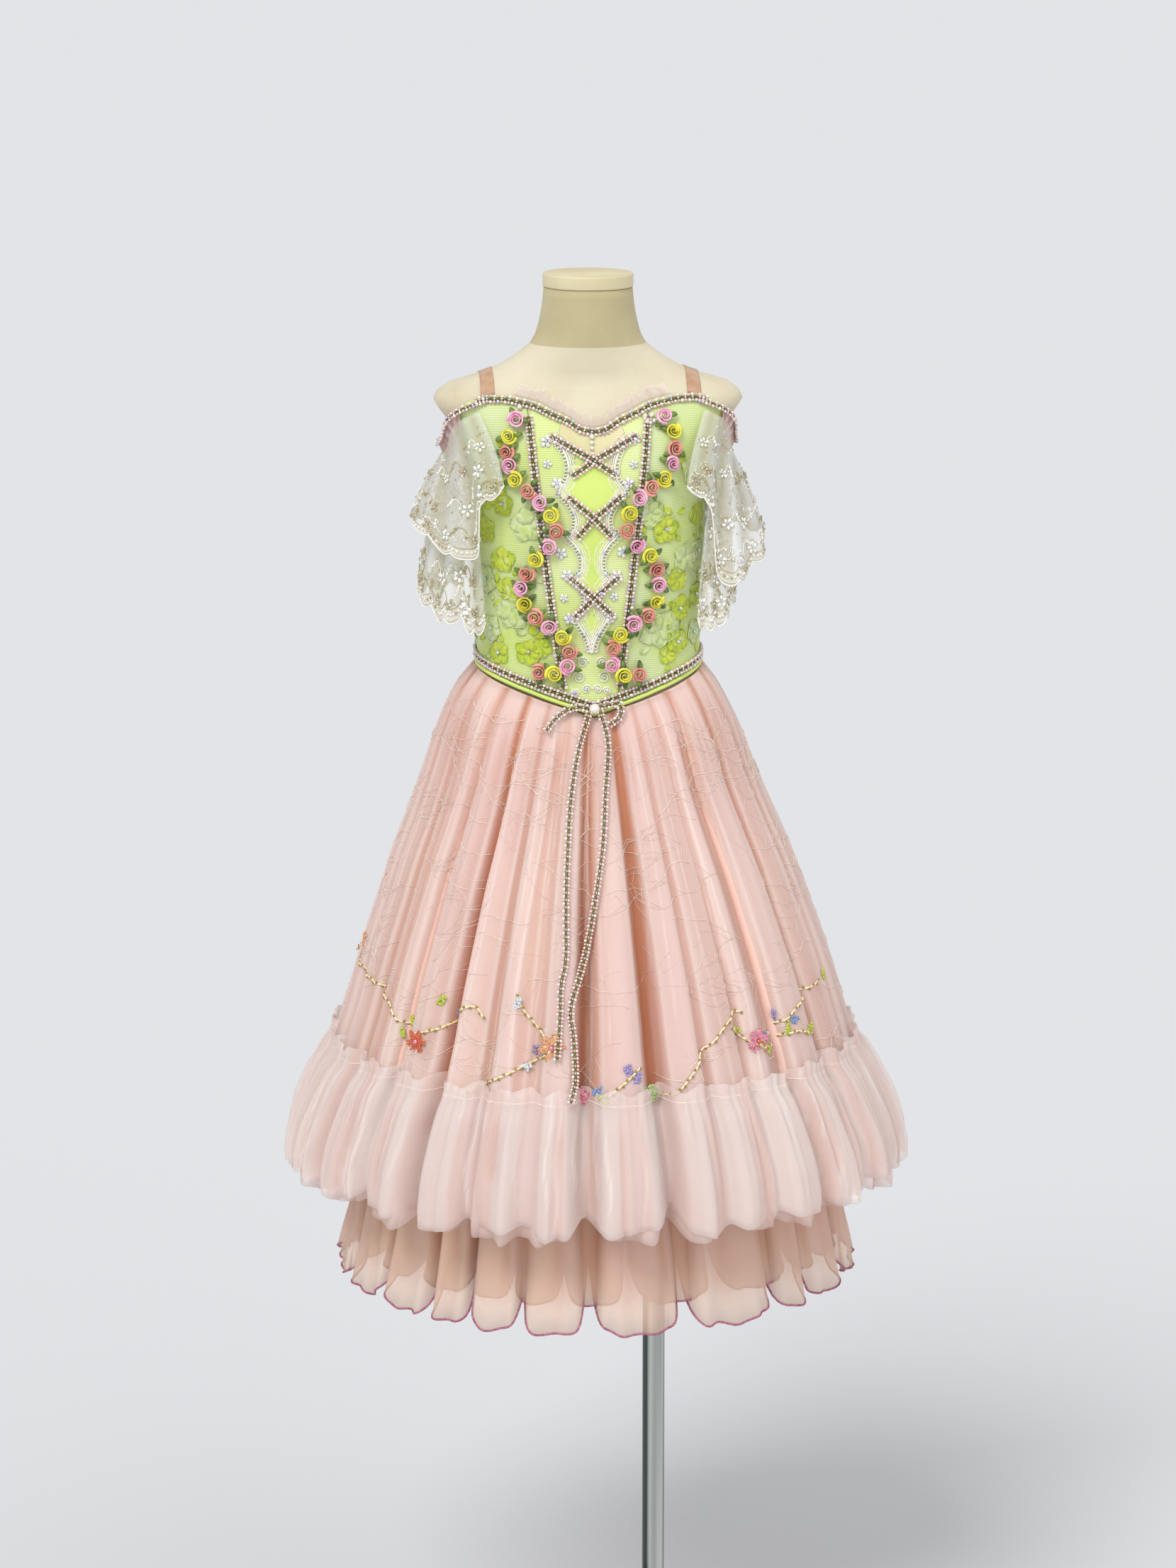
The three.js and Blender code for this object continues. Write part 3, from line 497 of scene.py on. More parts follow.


# Net whose folds are closer in the mesh and darker in colour, a painted shade; a mesh attribute says where.
# Along a crease the net lies double, so it is less open and paler there; the paleness is partly the doubled
# net and partly a painted highlight.
def foldedNet(name, crest, valley, alphaCrest, alphaValley, edge="fdf1ea", panel=None, creaseCover=0.45):
    material, nodes, links, shader = startMaterial(name, Roughness=0.95, Sheen_Weight=0.08,
                                                   Specular_IOR_Level=0.1)
    fold, crease = nodes.new("ShaderNodeAttribute"), nodes.new("ShaderNodeAttribute")
    fold.attribute_name, crease.attribute_name = "valley", "crease"
    vector = coordinatesOf(nodes, links, stretch=(1, 1, 0.07))
    side = driftOf(nodes, links, vector, 11, crest, panel or crest, 0.36, 0.62, 2)
    # Painted shade: the colour darkens towards the fold colour deep in the valleys.
    color = blendOf(nodes, links, fold.outputs["Fac"], side, paint(valley))
    # Along creases the colour pales towards the edge colour, partly as a painted highlight.
    if creaseCover:
        color = blendOf(nodes, links, crease.outputs["Fac"], color, paint(edge))
    links.new(color, shader.inputs["Base Color"])
    if alphaCrest < 1:
        spread = nodes.new("ShaderNodeMapRange")
        spread.inputs["To Min"].default_value = alphaCrest
        spread.inputs["To Max"].default_value = alphaValley
        links.new(fold.outputs["Fac"], spread.inputs["Value"])
        cover = nodes.new("ShaderNodeMath")
        cover.operation = "MULTIPLY_ADD"
        cover.inputs[1].default_value = creaseCover
        cover.use_clamp = True
        links.new(crease.outputs["Fac"], cover.inputs[0])
        links.new(spread.outputs["Result"], cover.inputs[2])
        links.new(cover.outputs["Value"], shader.inputs["Alpha"])
    addBump(nodes, links, shader, noiseOf(nodes, links, coordinatesOf(nodes, links), 1400, 2), 0.35, 0.0003)
    return material


def beadGlass(name, color, roughness, metal=0.0, coat=0.5):
    material, nodes, links, shader = startMaterial(
        name, Roughness=roughness, Metallic=metal, Coat_Weight=coat, Coat_Roughness=0.08)
    vector = coordinatesOf(nodes, links)
    shade = [(0.3, tuple(c * 0.72 for c in paint(color)[:3]) + (1,)), (0.6, paint(color))]
    links.new(rampOf(nodes, links, noiseOf(nodes, links, vector, 420), shade), shader.inputs["Base Color"])
    return material


# Coated crystal: its tint changes from bead to bead between lilac, ice blue and green.
def crystalGlass(name):
    material, nodes, links, shader = startMaterial(name, Roughness=0.06, Metallic=0.35, Coat_Weight=1.0)
    vector = coordinatesOf(nodes, links)
    stops = [(0.34, paint("b4a9e0")), (0.46, paint("d6cff0")), (0.56, paint("cfe6e6")),
             (0.68, paint("aed8c0"))]
    links.new(rampOf(nodes, links, noiseOf(nodes, links, vector, 130, 0), stops), shader.inputs["Base Color"])
    return material


oliveCord = mottledCloth("oliveCord", "84823a", "4e501a", 0.55, 500, 2500, 0.0003)
pinkSeed = beadGlass("pinkSeed", "eebfc0", 0.25)
whiteSeed = beadGlass("whiteSeed", "fbf6ef", 0.2)
pearlGlass = beadGlass("pearlGlass", "f6efe2", 0.16, 0.0, 1.0)
crystal = crystalGlass("crystal")
braidMaterials = [oliveCord, pinkSeed, whiteSeed, pearlGlass, crystal]
print("materials for braid and beads mixed")

# The two streamers hang from the bow over the skirt, over the same points as their solids.
streamers = {
    "width": 0.007,
    "left": [
        (-0.006, -0.1046, 1.1374), (-0.019, -0.1258, 1.100), (-0.029, -0.1518, 1.054),
        (-0.034, -0.1773, 1.006), (-0.038, -0.2068, 0.951), (-0.040, -0.2323, 0.897),
        (-0.046, -0.2443, 0.870), (-0.048, -0.2588, 0.838), (-0.052, -0.2753, 0.798),
    ],
    "right": [
        (0.006, -0.1048, 1.138), (0.013, -0.1218, 1.105), (0.008, -0.1508, 1.055),
        (0.003, -0.1783, 1.005), (-0.007, -0.2043, 0.951), (-0.017, -0.2173, 0.903),
        (-0.025, -0.2358, 0.880), (-0.036, -0.2538, 0.847), (-0.034, -0.2638, 0.820),
        (-0.033, -0.282, 0.778), (-0.039, -0.302, 0.758),
    ],
}


def hangStreamer(side, seed):
    line = smoothLine(np.array(streamers[side]) / mm, 8)
    along = unit(np.gradient(line, axis=0))
    facing = unit(np.cross(along, np.cross(np.array([0, -1.0, 0.4]), along)))
    heap = newHeap()
    pileBraid(heap, line - facing * 1.4, facing, seed, rich=False, out=2.7)
    cord = heapPiece(f"streamer_{side}_braid", heap, braidMaterials, "olive_braid", f"streamer_{side}")
    long = float(np.linalg.norm(np.diff(line, axis=0), axis=1).sum()) * mm
    print(f"streamer {side}: {long:.3f} m")


hangStreamer("left", 3)
hangStreamer("right", 4)
print("streamers hung")

# Skirt shape by share of the way from the waist to the stitch line, then on to the hem.
skirtShape = smoothTable(["share", "left", "right", "front", "back", "fold", "squareness"], [
    [0, 125, 125, 96.5, 86.5, 0.5, 2.5], [0.06, 146, 144, 115, 107, 2.5, 2.3],
    [0.16, 166, 166, 138, 133, 6, 2.15], [0.27, 182, 184, 161, 157, 10, 2],
    [0.38, 198, 204, 184, 180, 14, 2], [0.47, 213, 221, 203, 200, 17, 2],
    [0.58, 228, 239, 224, 221, 20, 2], [0.77, 254, 268, 258, 255, 25, 2],
    [0.87, 266, 281, 273, 270, 27, 2], [1, 283, 296, 296, 290, 29, 2], [1.28, 304, 322, 320, 314, 33, 2],
])
skirtLevels = {"stitch": 752, "perShare": 400, "waistDrop": 6, "hemShare": 1.28}
# The valleys between the folds: the turn in degrees and how deep each one is.
overFolds = [
    (-167, 0.8), (-148, 1), (-128, 0.6), (-110, 0.9), (-93, 0.7), (-79, 0.9), (-66, 0.6), (-52, 0.9),
    (-38, 1.2), (-27, 0.5), (-16, 0.4), (-5, 1.2), (12, 1.2), (23, 0.45), (33, 0.4), (44, 1.1), (58, 0.8),
    (72, 0.7), (88, 0.9), (105, 0.7), (124, 1), (143, 0.6), (161, 0.9), (177, 0.6),
]
underFolds = [
    (-163, 0.9), (-139, 1), (-115, 0.8), (-93, 0.9), (-74, 0.7), (-57, 0.6), (-41, 1.1), (-31, 0.9),
    (-19, 0.5), (-4, 1.1), (17.5, 1.2), (41, 1.1), (51, 0.6), (68, 0.8), (88, 0.9), (110, 0.8), (134, 1),
    (157, 0.9), (178, 0.7),
]


def wrapTurn(turn):
    return (turn + np.pi) % (2 * np.pi) - np.pi


def skirtLevel(turn, share):
    upper = mix(lowerAt(wrapTurn(turn)) - skirtLevels["waistDrop"], skirtLevels["stitch"], share)
    return np.where(share < 1, upper, skirtLevels["stitch"] - (share - 1) * skirtLevels["perShare"])


def skirtRadius(turn, share):
    side = np.where(np.sin(turn) > 0, skirtShape(share, "right"), skirtShape(share, "left"))
    depth = np.where(np.cos(turn) > 0, skirtShape(share, "front"), skirtShape(share, "back"))
    return ringRadius(turn, side, depth, skirtShape(share, "squareness"))


# Valleys are broad near the front middle, in degrees, and narrower round the rest of the skirt.
valleyEdge = {"front": -5, "broadTo": 12, "narrowFrom": 24, "broad": 6, "extra": 6}


# How deep the cloth stands in a valley, 0 on a crest, and where between two valleys the turn is.
def foldAt(turn, folds):
    starts = np.array([f[0] for f in folds] + [folds[0][0] + 360], float)
    depths = np.array([f[1] for f in folds] + [folds[0][1]], float)
    degrees = (np.degrees(turn) - starts[0]) % 360 + starts[0]
    i = np.clip(np.searchsorted(starts, degrees, side="right") - 1, 0, len(folds) - 1)
    f = (degrees - starts[i]) / (starts[i + 1] - starts[i])
    apart = np.abs((degrees + 180 - valleyEdge["front"]) % 360 - 180)
    narrow = valleyEdge["broad"] + valleyEdge["extra"] * smoothStep(
        apart, valleyEdge["broadTo"], valleyEdge["narrowFrom"])
    return mix(depths[i], depths[i + 1], f) * np.abs(np.cos(np.pi * f)) ** narrow, f


# Small uneven gathers: each has a turn, depth, half width in degrees, and where it starts and ends.
def gathers(count, seed, depth, halfWidth, start, end):
    draw = random.Random(seed)
    return [(360 * (i + draw.uniform(-0.4, 0.4)) / count - 180, depth * draw.uniform(0.35, 1.6),
             halfWidth * draw.uniform(0.6, 1.5), start * draw.uniform(0.1, 1.2),
             end * draw.uniform(0.6, 1.25))
            for i in range(count)]


def gatherDepth(turn, share, rows, easing=0.12):
    total = np.zeros_like(turn)
    degrees = np.degrees(turn)
    for middle, depth, halfWidth, start, end in rows:
        apart = (degrees - middle + 180) % 360 - 180
        near = np.abs(apart) < 2.6 * halfWidth
        risen = smoothStep(share[near], start - 0.02, start + easing)
        held = risen * (1 - smoothStep(share[near], end - easing, end))
        total[near] += depth * np.exp(-(apart[near] / halfWidth) ** 2) * held
    return total


overGathers = gathers(150, 11, 1.5, 0.8, 0.012, 0.24) + gathers(26, 12, 4.2, 2.2, 0.06, 1.5)
tulleGathers = gathers(90, 13, 2.0, 1.2, 0.012, 0.4) + gathers(22, 14, 5.0, 2.6, 0.1, 1.6)
overCreases = gathers(64, 15, 0.42, 0.26, 0.25, 1.15) + gathers(30, 16, 0.6, 0.36, 0.02, 1.9)
# Crease lines run along the valleys' edges, as small ridges and a painted highlight; the last two numbers set
# how much painted shade the valleys and the gathers take.
foldEdge = {"depth": 0.16, "width": 0.1, "strength": 0.6, "ridge": 0.5, "tintAndPaintedLight": 0.9, "gatherShade": 12}


def creaseAt(turn, share, rows):
    drift = turn + 0.012 * np.sin(7 * share + 9 * turn)
    return np.clip(gatherDepth(drift, share, rows, 0.05), 0, 1)


def overPoint(turn, share, out=0.0):
    back, _ = foldAt(turn, overFolds)
    small = gatherDepth(turn, share, overGathers)
    crease = creaseAt(turn, share, overCreases)
    edge = foldEdge["strength"] * np.exp(-((back - foldEdge["depth"]) / foldEdge["width"]) ** 2)
    crease = np.maximum(crease, edge * smoothStep(share, 0.1, 0.4))
    radius = (skirtRadius(turn, share) - back * skirtShape(share, "fold") - small
              + foldEdge["ridge"] * crease + out)
    # Painted shade: deepest in a valley, less in the small gathers.
    valley = back * foldEdge["tintAndPaintedLight"] + small / foldEdge["gatherShade"]
    return onRing(turn, radius, skirtLevel(turn, share)), valley, crease


# A round layer of the skirt. point places a turn and a share, and shareAt runs from the hem up.
def skirtLayer(name, style, point, shareAt):
    return clothGrid(name, style["columns"], style["rows"],
                     lambda u, v: point((2 * u - 1) * np.pi, shareAt(v)), style["wall"], around=True)


# The outer net of the overskirt, one sheer layer that carries the embroidery.
overskirt = {
    # The darker fold colour is painted shade; the crest and panel colours are the net's own.
    "columns": 680, "rows": 26, "wall": 0.5, "crest": "fae9e2", "panel": "f6e0da", "valley": "dba488",
    "crestAlpha": 0.36, "valleyAlpha": 0.22,
}
overskirtPiece = skirtLayer("overskirt_net", overskirt, overPoint,
                            lambda v: skirtLevels["hemShare"] * (1 - v) ** 1.25)
overskirtNet = foldedNet("overskirtNet", overskirt["crest"], overskirt["valley"],
                         overskirt["crestAlpha"], overskirt["valleyAlpha"], panel=overskirt["panel"],
                         creaseCover=0.26)
dress(overskirtPiece, overskirtNet, "peach_tulle", "overskirt_front", "overskirt_back")

# Under it, gathered closer, the tulle that gives the skirt its colour, darkened in its folds with painted
# shade.
tulle = {"columns": 420, "rows": 20, "wall": 0.6, "hemShare": 1.24, "swing": 0.03}
tulleShape = smoothTable(["share", "inset", "fold"], [
    [0, 1.6, 0.3], [0.06, 3.6, 1.5], [0.16, 6.5, 4], [0.4, 9, 11], [0.8, 11, 20], [1, 12, 23],
    [1.24, 13, 26],
])


def tullePoint(turn, share):
    swing = turn + tulle["swing"] * np.sin(9 * turn + 1)
    back, _ = foldAt(swing, overFolds)
    small = gatherDepth(turn, share, tulleGathers)
    radius = skirtRadius(turn, share) - tulleShape(share, "inset") - back * tulleShape(share, "fold") - small
    # The second value sets painted shade in the folds and gathers.
    return onRing(turn, radius, skirtLevel(turn, share)), back + small / 12


tullePiece = skirtLayer("overskirt_tulle", tulle, tullePoint, lambda v: tulle["hemShare"] * (1 - v) ** 1.2)
skirtTulle = foldedNet("skirtTulle", "f2d1c0", "c67d55", 1, 1, panel="efcbc2", creaseCover=0)
dress(tullePiece, skirtTulle, "peach_tulle")
print("overskirt hung")


# The place on the skirt that shows at a given x and height, as a turn and a share.
def skirtPlace(x, z, front=True):
    turn, share = 0.0, 0.5
    for _ in range(14):
        top = float(lowerAt(turn)) - skirtLevels["waistDrop"]
        share = (top - z) / (top - skirtLevels["stitch"])
        radius = float(skirtRadius(turn, share))
        turn = math.asin(max(-0.999, min(0.999, x / radius)))
    return (turn if front else math.pi - turn), share


# Fine cream veins embroidered over the net: they wander, fork and stop.
veins = {
    "rows": 13, "rowGap": 0.078, "perRow": 20, "radius": 0.34, "step": 5.0, "lift": 0.8,
    "wander": 0.42, "forkChance": 0.16, "skipChance": 0.22, "long": (10, 24), "branch": (4, 10),
}


def embroiderVeins(seed):
    draw = random.Random(seed)
    heap = newHeap()

    def strand(turn, share, heading, steps, depth=0):
        route = []
        for _ in range(steps):
            route.append((turn, share))
            heading += draw.uniform(-veins["wander"], veins["wander"]) - 0.06 * math.sin(2 * heading)
            radius = float(skirtRadius(turn, share))
            turn += veins["step"] * math.cos(heading) / radius
            share += veins["step"] * math.sin(heading) / skirtLevels["perShare"]
            if depth < 2 and draw.random() < veins["forkChance"]:
                strand(turn, share, heading + draw.choice((-1, 1)) * draw.uniform(0.5, 1.1),
                       draw.randint(*veins["branch"]), depth + 1)
            if not 0.05 < share < 1.0:
                break
        if len(route) > 2:
            turns, shares = np.array(route).T
            points, *_ = overPoint(turns, shares, veins["lift"])
            pileThread(heap, points, unit(points * (1, 1, 0)), veins["radius"] * (1 - 0.25 * depth), 3)

    for row in range(veins["rows"]):
        for i in range(veins["perRow"]):
            if draw.random() < veins["skipChance"]:
                continue
            turn = 2 * math.pi * (i + draw.uniform(-0.4, 0.4)) / veins["perRow"] - math.pi
            share = 0.06 + veins["rowGap"] * (row + draw.uniform(-0.3, 0.3))
            heading = draw.choice((0, math.pi)) + draw.uniform(-0.7, 0.7)
            strand(turn, share, heading, draw.randint(*veins["long"]))
    thread = mottledCloth("creamThread", "fff4ea", "f1d9c8", 0.5, 200)
    heapPiece("skirt_vein_embroidery", heap, [thread], "peach_tulle")


embroiderVeins(91)
print("veins embroidered")

# Vines of cream cord and gold sequins with beaded leaves and flowers, above the flounce.
vineColors = {
    "cord": ("fbf3d6", "ead9a8"), "gold": "b08d2c", "green": "c6d63a", "blue": "86a8d8", "lavender": "a79bd0",
    "silver": "dfe3ea", "peach": "efb383", "red": "e0704a", "pink": "ee9aae", "lime": "b6d08a",
}
vineKinds = {name: i for i, name in enumerate(vineColors)}
vineSize = {
    "lift": 1.8, "cord": 1.15, "step": 7.0, "sequin": (1.9, 1.9, 0.9), "leaf": (8, 4.2), "leafSeeds": 26,
    "seed": (1.9, 1.9, 1.1), "petals": 6, "petalSeeds": 14, "petalSeed": 1.15, "heart": (3, 3, 2),
}
vineRuns = [ # the points of each vine as x and height, from the front
    [(-263, 850), (-240, 838), (-224, 821), (-207, 804), (-180, 812), (-164, 822), (-150, 838), (-136, 842),
     (-128, 832)],
    [(-150, 752), (-141, 760), (-120, 772), (-95, 784), (-70, 796), (-57, 806)],
    [(-57, 808), (-75, 828), (-88, 846), (-92, 858)],
    [(-30, 751), (-12, 749), (6, 764), (24, 778), (36, 788)],
    [(48, 755), (68, 757), (90, 776), (110, 800), (138, 828), (150, 832)],
    [(138, 818), (166, 797), (190, 806), (214, 824), (244, 838)],
    [(166, 797), (184, 790), (208, 800), (232, 792)],
]
vineFlowers = [
    (-255, 862, "peach", 13), (-197, 797, "red", 12), (-57, 808, "peach", 14), (-30, 754, "pink", 11),
    (48, 758, "lime", 10), (166, 800, "pink", 14),
]
vineLeaves = [
    (-171, 843, "green"), (-213, 812, "green"), (-218, 800, "green"), (-2, 756, "green"),
    (147, 812, "green"), (178, 790, "green"), (203, 806, "green"), (229, 797, "green"),
    (250, 841, "green"), (-164, 828, "blue"), (-8, 764, "blue"), (173, 806, "blue"), (210, 812, "blue"),
    (-73, 802, "lavender"), (23, 786, "lavender"), (32, 778, "lavender"), (195, 819, "lavender"),
    (227, 834, "lavender"), (-87, 786, "silver"), (-92, 850, "silver"),
]


def embroiderVines(seed):
    draw = random.Random(seed)
    heap = newHeap()

    def at(x, z, front, lift):
        places = [skirtPlace(a, b, front) for a, b in zip(np.atleast_1d(x), np.atleast_1d(z))]
        turns, shares = np.array(places).T
        points, *_ = overPoint(turns, shares, lift)
        return points, unit(points * (1, 1, 0) + (0, 0, 25))

    for front in (True, False):
        for run in vineRuns:
            line = smoothLine(np.array(run, float), 7)
            points, normals = at(line[:, 0], line[:, 1], front, vineSize["lift"])
            pileThread(heap, points, normals, vineSize["cord"], 6, vineKinds["cord"])
            middle, along, facing, _ = evenLine(points, normals, vineSize["step"])
            side = unit(np.cross(facing, along))
            hands = np.where(np.arange(len(middle)) % 2, 1, -1)[:, None]
            pileCopies(heap, beadShape, middle + side * hands * 1.1 + facing * 0.9, along, facing,
                       vineSize["sequin"], vineKinds["gold"])
        for x, z, color in vineLeaves:
            centre, normal = at(x, z, front, 1.7)
            lean = np.cross(normal, [[math.sin(draw.uniform(0, 6)), 0, math.cos(draw.uniform(0, 6))]])
            for _ in range(vineSize["leafSeeds"]):
                a, b = draw.uniform(-1, 1), draw.uniform(-1, 1)
                if a * a + b * b > 1:
                    continue
                along = unit(lean)
                across = np.cross(normal, along)
                spot = along * a * vineSize["leaf"][0] + across * b * vineSize["leaf"][1]
                pileCopies(heap, seedShape, centre + spot, along, normal, vineSize["seed"], vineKinds[color])
        for x, z, color, size in vineFlowers:
            centre, normal = at(x, z, front, 2.0)
            up = unit(np.cross(np.cross(normal, [[0, 0, 1.0]]), normal))
            across = np.cross(up, normal)
            for petal in range(vineSize["petals"]):
                angle = petal * 2 * math.pi / vineSize["petals"] + 0.3
                out = up * math.cos(angle) + across * math.sin(angle)
                pileCopies(heap, beadShape, centre + out * size * 0.58, out, normal,
                           (size * 0.55, size * 0.36, 1.2), vineKinds[color])
                for _ in range(vineSize["petalSeeds"]):
                    spot = out * size * draw.uniform(0.25, 1.1)
                    spot = spot + np.cross(normal, out) * size * draw.uniform(-0.3, 0.3)
                    pileCopies(heap, seedShape, centre + spot + normal * 1.1, out, normal,
                               vineSize["petalSeed"], vineKinds[color])
            pileCopies(heap, pearlShape, centre + normal * 1.2, up, normal, vineSize["heart"],
                       vineKinds["pink" if color != "pink" else "red"])
    materials = [mottledCloth("vineCord", *vineColors["cord"], 0.5, 300)]
    materials += [beadGlass(name + "Sequin", vineColors[name], 0.25, 0.3, 0.8)
                  for name in list(vineColors)[1:]]
    heapPiece("skirt_sequin_vines", heap, materials, "peach_tulle")


embroiderVines(92)
print("vines and flowers sewn on")

# The flounce: gathered on at the stitch line, with a ruffled heading above it.
flounceShape = smoothTable(["share", "clearance", "wave", "gather"], [
    [0.965, 3.4, 2.5, 1.6], [1, 2.0, 0.2, 0.7], [1.03, 8, 3, 1.2], [1.12, 17, 8, 0.7],
    [1.22, 23, 12, 0.4], [1.325, 21, 14, 0.2], [1.36, 20, 14, 0.2],
])
flounceFolds = gathers(110, 21, 2.6, 0.8, 0.9, 1.5)
flounceCreases = gathers(120, 22, 0.36, 0.24, 0.9, 1.3)
flounce = {
    "columns": 880, "rows": 15, "wall": 0.5, "hemShare": 1.325, "topShare": 0.965, "lay": 1.8,
    "foldShare": 0.95, "puffs": 41, "ripples": 188, "ridge": 0.2, "foldRise": 15, "puffDrop": 5,
    # The last number takes some painted shade off the troughs of the puffs.
    "hemWave": 4, "tintAndPaintedLight": 0.25,
}


def flouncePoint(turn, share, inset=0.0, drop=0.0, phase=0.0):
    back, _ = foldAt(turn, overFolds)
    base = skirtRadius(turn, share) - back * skirtShape(share, "fold") * flounce["foldShare"]
    uneven = 2.6 * np.sin(5 * turn + phase) + 1.5 * np.sin(11 * turn + 2 + phase)
    spin = flounce["puffs"] * turn + uneven + phase
    wave = 0.5 + 0.34 * np.sin(spin) + 0.16 * np.sin(1.7 * spin + 1)
    ripple = np.sin(flounce["ripples"] * turn + 2.5 * np.sin(13 * turn + phase))
    small = gatherDepth(turn, share, flounceFolds, 0.03) * smoothStep(share, 1.0, 1.1)
    drift = turn + 0.006 * np.sin(30 * share + 5 * turn)
    crease = np.clip(gatherDepth(drift, share, flounceCreases, 0.03), 0, 1)
    radius = (base + flounce["lay"] + flounceShape(share, "clearance") - inset
              + wave * flounceShape(share, "wave") + ripple * flounceShape(share, "gather")
              - small + flounce["ridge"] * crease)
    hang = smoothStep(share, 1.05, flounce["hemShare"])
    rise = back * flounce["foldRise"] - flounce["puffDrop"] * wave + 2 - drop
    level = skirtLevel(turn, share) + hang * (rise + flounce["hemWave"] * np.sin(13 * turn + phase))
    ruffle = 2.5 * np.sin(61 * turn) + 2 * np.sin(37 * turn + 1)
    heading = (1 - smoothStep(share, flounce["topShare"], 1.0)) * ruffle
    # Besides the point: painted shade in the troughs of the puffs and gathers, and the crease lines, paler
    # partly as a painted highlight.
    return onRing(turn, radius, level + heading), 1 - wave + small / 8 - flounce["tintAndPaintedLight"], crease


flouncePiece = skirtLayer("flounce_net", flounce, flouncePoint,
                          lambda v: mix(flounce["hemShare"], flounce["topShare"], v))
# Both flounce nets darken to painted shade in their troughs; along the creases they pale, partly as a painted
# highlight.
flounceNet = foldedNet("flounceNet", "fff1ec", "f0d2c8", 0.34, 0.46, edge="fff8f5", creaseCover=0.2)
dress(flouncePiece, flounceNet, "pale_tulle", "flounce_front", "flounce_back")
underNet = {"columns": 600, "rows": 11, "wall": 0.5, "topShare": 1.01, "shift": (7.0, 8.0, 2.0)}
flounceUnder = skirtLayer("flounce_under_net", underNet,
                          lambda turn, share: flouncePoint(turn, share, *underNet["shift"]),
                          lambda v: mix(flounce["hemShare"], underNet["topShare"], v))
flounceUnderNet = foldedNet("flounceUnderNet", "f8e3dc", "e9c3b6", 0.36, 0.5, edge="fff4ee", creaseCover=0.2)
dress(flounceUnder, flounceUnderNet, "pale_tulle")
stitch = {"count": 900, "out": 0.4, "radius": 0.55}
stitchTurns = np.linspace(-np.pi, np.pi, stitch["count"], endpoint=False)
stitchLine, *_ = flouncePoint(stitchTurns, np.ones(stitch["count"]))
stitchFacing = unit(stitchLine * (1, 1, 0))
heap = newHeap()
pileThread(heap, stitchLine + stitchFacing * stitch["out"], stitchFacing, stitch["radius"], 5, 0, loop=True)
stitchThread = mottledCloth("stitchThread", "fff3ec", "efd3c6", 0.6, 400)
heapPiece("flounce_gathering_stitch", heap, [stitchThread], "pale_tulle")
print("flounce gathered on")

# The underskirt swings out in petals below the flounce, with a rolled hem.
underShape = smoothTable(["share", "inset", "fold"], [
    [0, 3.2, 0], [0.06, 7, 0.8], [0.16, 13, 2], [0.4, 25, 5], [0.8, 38, 9], [1, 44, 12], [1.3, 46, 24],
    [1.64, 26, 34],
])
petals = {
    "columns": 600, "rows": 26, "wall": 0.5, "hemShare": 1.64, "lean": -0.085, "foldRise": 42, "arc": 24,
    "ruffleFrom": 1.5, "ruffle": 2.0, "hemBand": (0.20, 0.03),
}
underHemShare = petals["hemShare"]
underCreases = gathers(60, 31, 3.2, 1.3, 0.7, 2.4)


def underPoint(turn, share, out=0.0):
    back, f = foldAt(turn, underFolds)
    lean = petals["lean"] * np.sin(2 * np.pi * f) * smoothStep(share, 1.1, underHemShare)
    following = underFolds[1:] + [(underFolds[0][0] + 360, 0)]
    widths = np.array([b[0] - a[0] for a, b in zip(underFolds, following)])
    starts = np.array([a[0] for a in underFolds], float)
    degrees = (np.degrees(turn) - starts[0]) % 360 + starts[0]
    width = widths[np.clip(np.searchsorted(starts, degrees, side="right") - 1, 0, len(starts) - 1)]
    ruffle = smoothStep(share, petals["ruffleFrom"], underHemShare)
    wavy = np.sin(83 * turn + 2 * np.sin(9 * turn)) * 2.6 + np.sin(47 * turn + 1) * 2.2
    small = gatherDepth(turn, share, underCreases)
    inset = underShape(share, "inset") + back * underShape(share, "fold") + small - wavy * ruffle
    hang = smoothStep(share, 1, underHemShare)
    rise = (back * back * petals["foldRise"] + petals["arc"] * (2 * f - 1) ** 2) * hang
    rise = rise + ruffle * petals["ruffle"] * np.sin(58 * turn)
    place = onRing(turn + np.radians(width) * lean, skirtRadius(turn, share) - inset + out,
                   skirtLevel(turn, share) + rise)
    hem = smoothStep(share, underHemShare - petals["hemBand"][0], underHemShare - petals["hemBand"][1])
    # The second value sets painted shade in the valleys between the petals and in the creases; the third
    # marks the hem band.
    return place, back + small / 9, hem


# Both chiffon layers darken to painted shade in the valleys between their petals.
underPiece = skirtLayer("underskirt_chiffon", petals, underPoint, lambda v: underHemShare * (1 - v))
underChiffon = foldedNet("underskirtChiffon", "efcab2", "d49c80", 0.78, 0.92, edge="ecceba",
                         panel="ecc5b4", creaseCover=-0.36)
dress(underPiece, underChiffon, "peach_chiffon", "underskirt_front", "underskirt_back")


def rollHem(name, point, share, count, radius, material, slotName):
    turns = np.linspace(-np.pi, np.pi, count, endpoint=False)
    line, *_ = point(turns, np.full(count, share))
    heap = newHeap()
    pileThread(heap, line - unit(line * (1, 1, 0)) * 0.25, unit(line * (1, 1, 0)), radius, 5, 0, loop=True)
    heapPiece(name, heap, [material], slotName)


innerPetals = {"columns": 460, "rows": 16, "wall": 0.5, "swing": 0.16, "inset": 12, "hemShare": 1.57,
               "topShare": 0.5}


def innerPoint(turn, share, out=0.0):
    swing = innerPetals["swing"]
    inset = innerPetals["inset"] * smoothStep(share, 0.1, 1)
    place, valley, hem = underPoint(turn + swing, share, out - inset)
    x = place[:, 0] * np.cos(swing) - place[:, 1] * np.sin(swing)
    y = place[:, 0] * np.sin(swing) + place[:, 1] * np.cos(swing)
    return np.stack([x, y, place[:, 2]], -1), valley, hem


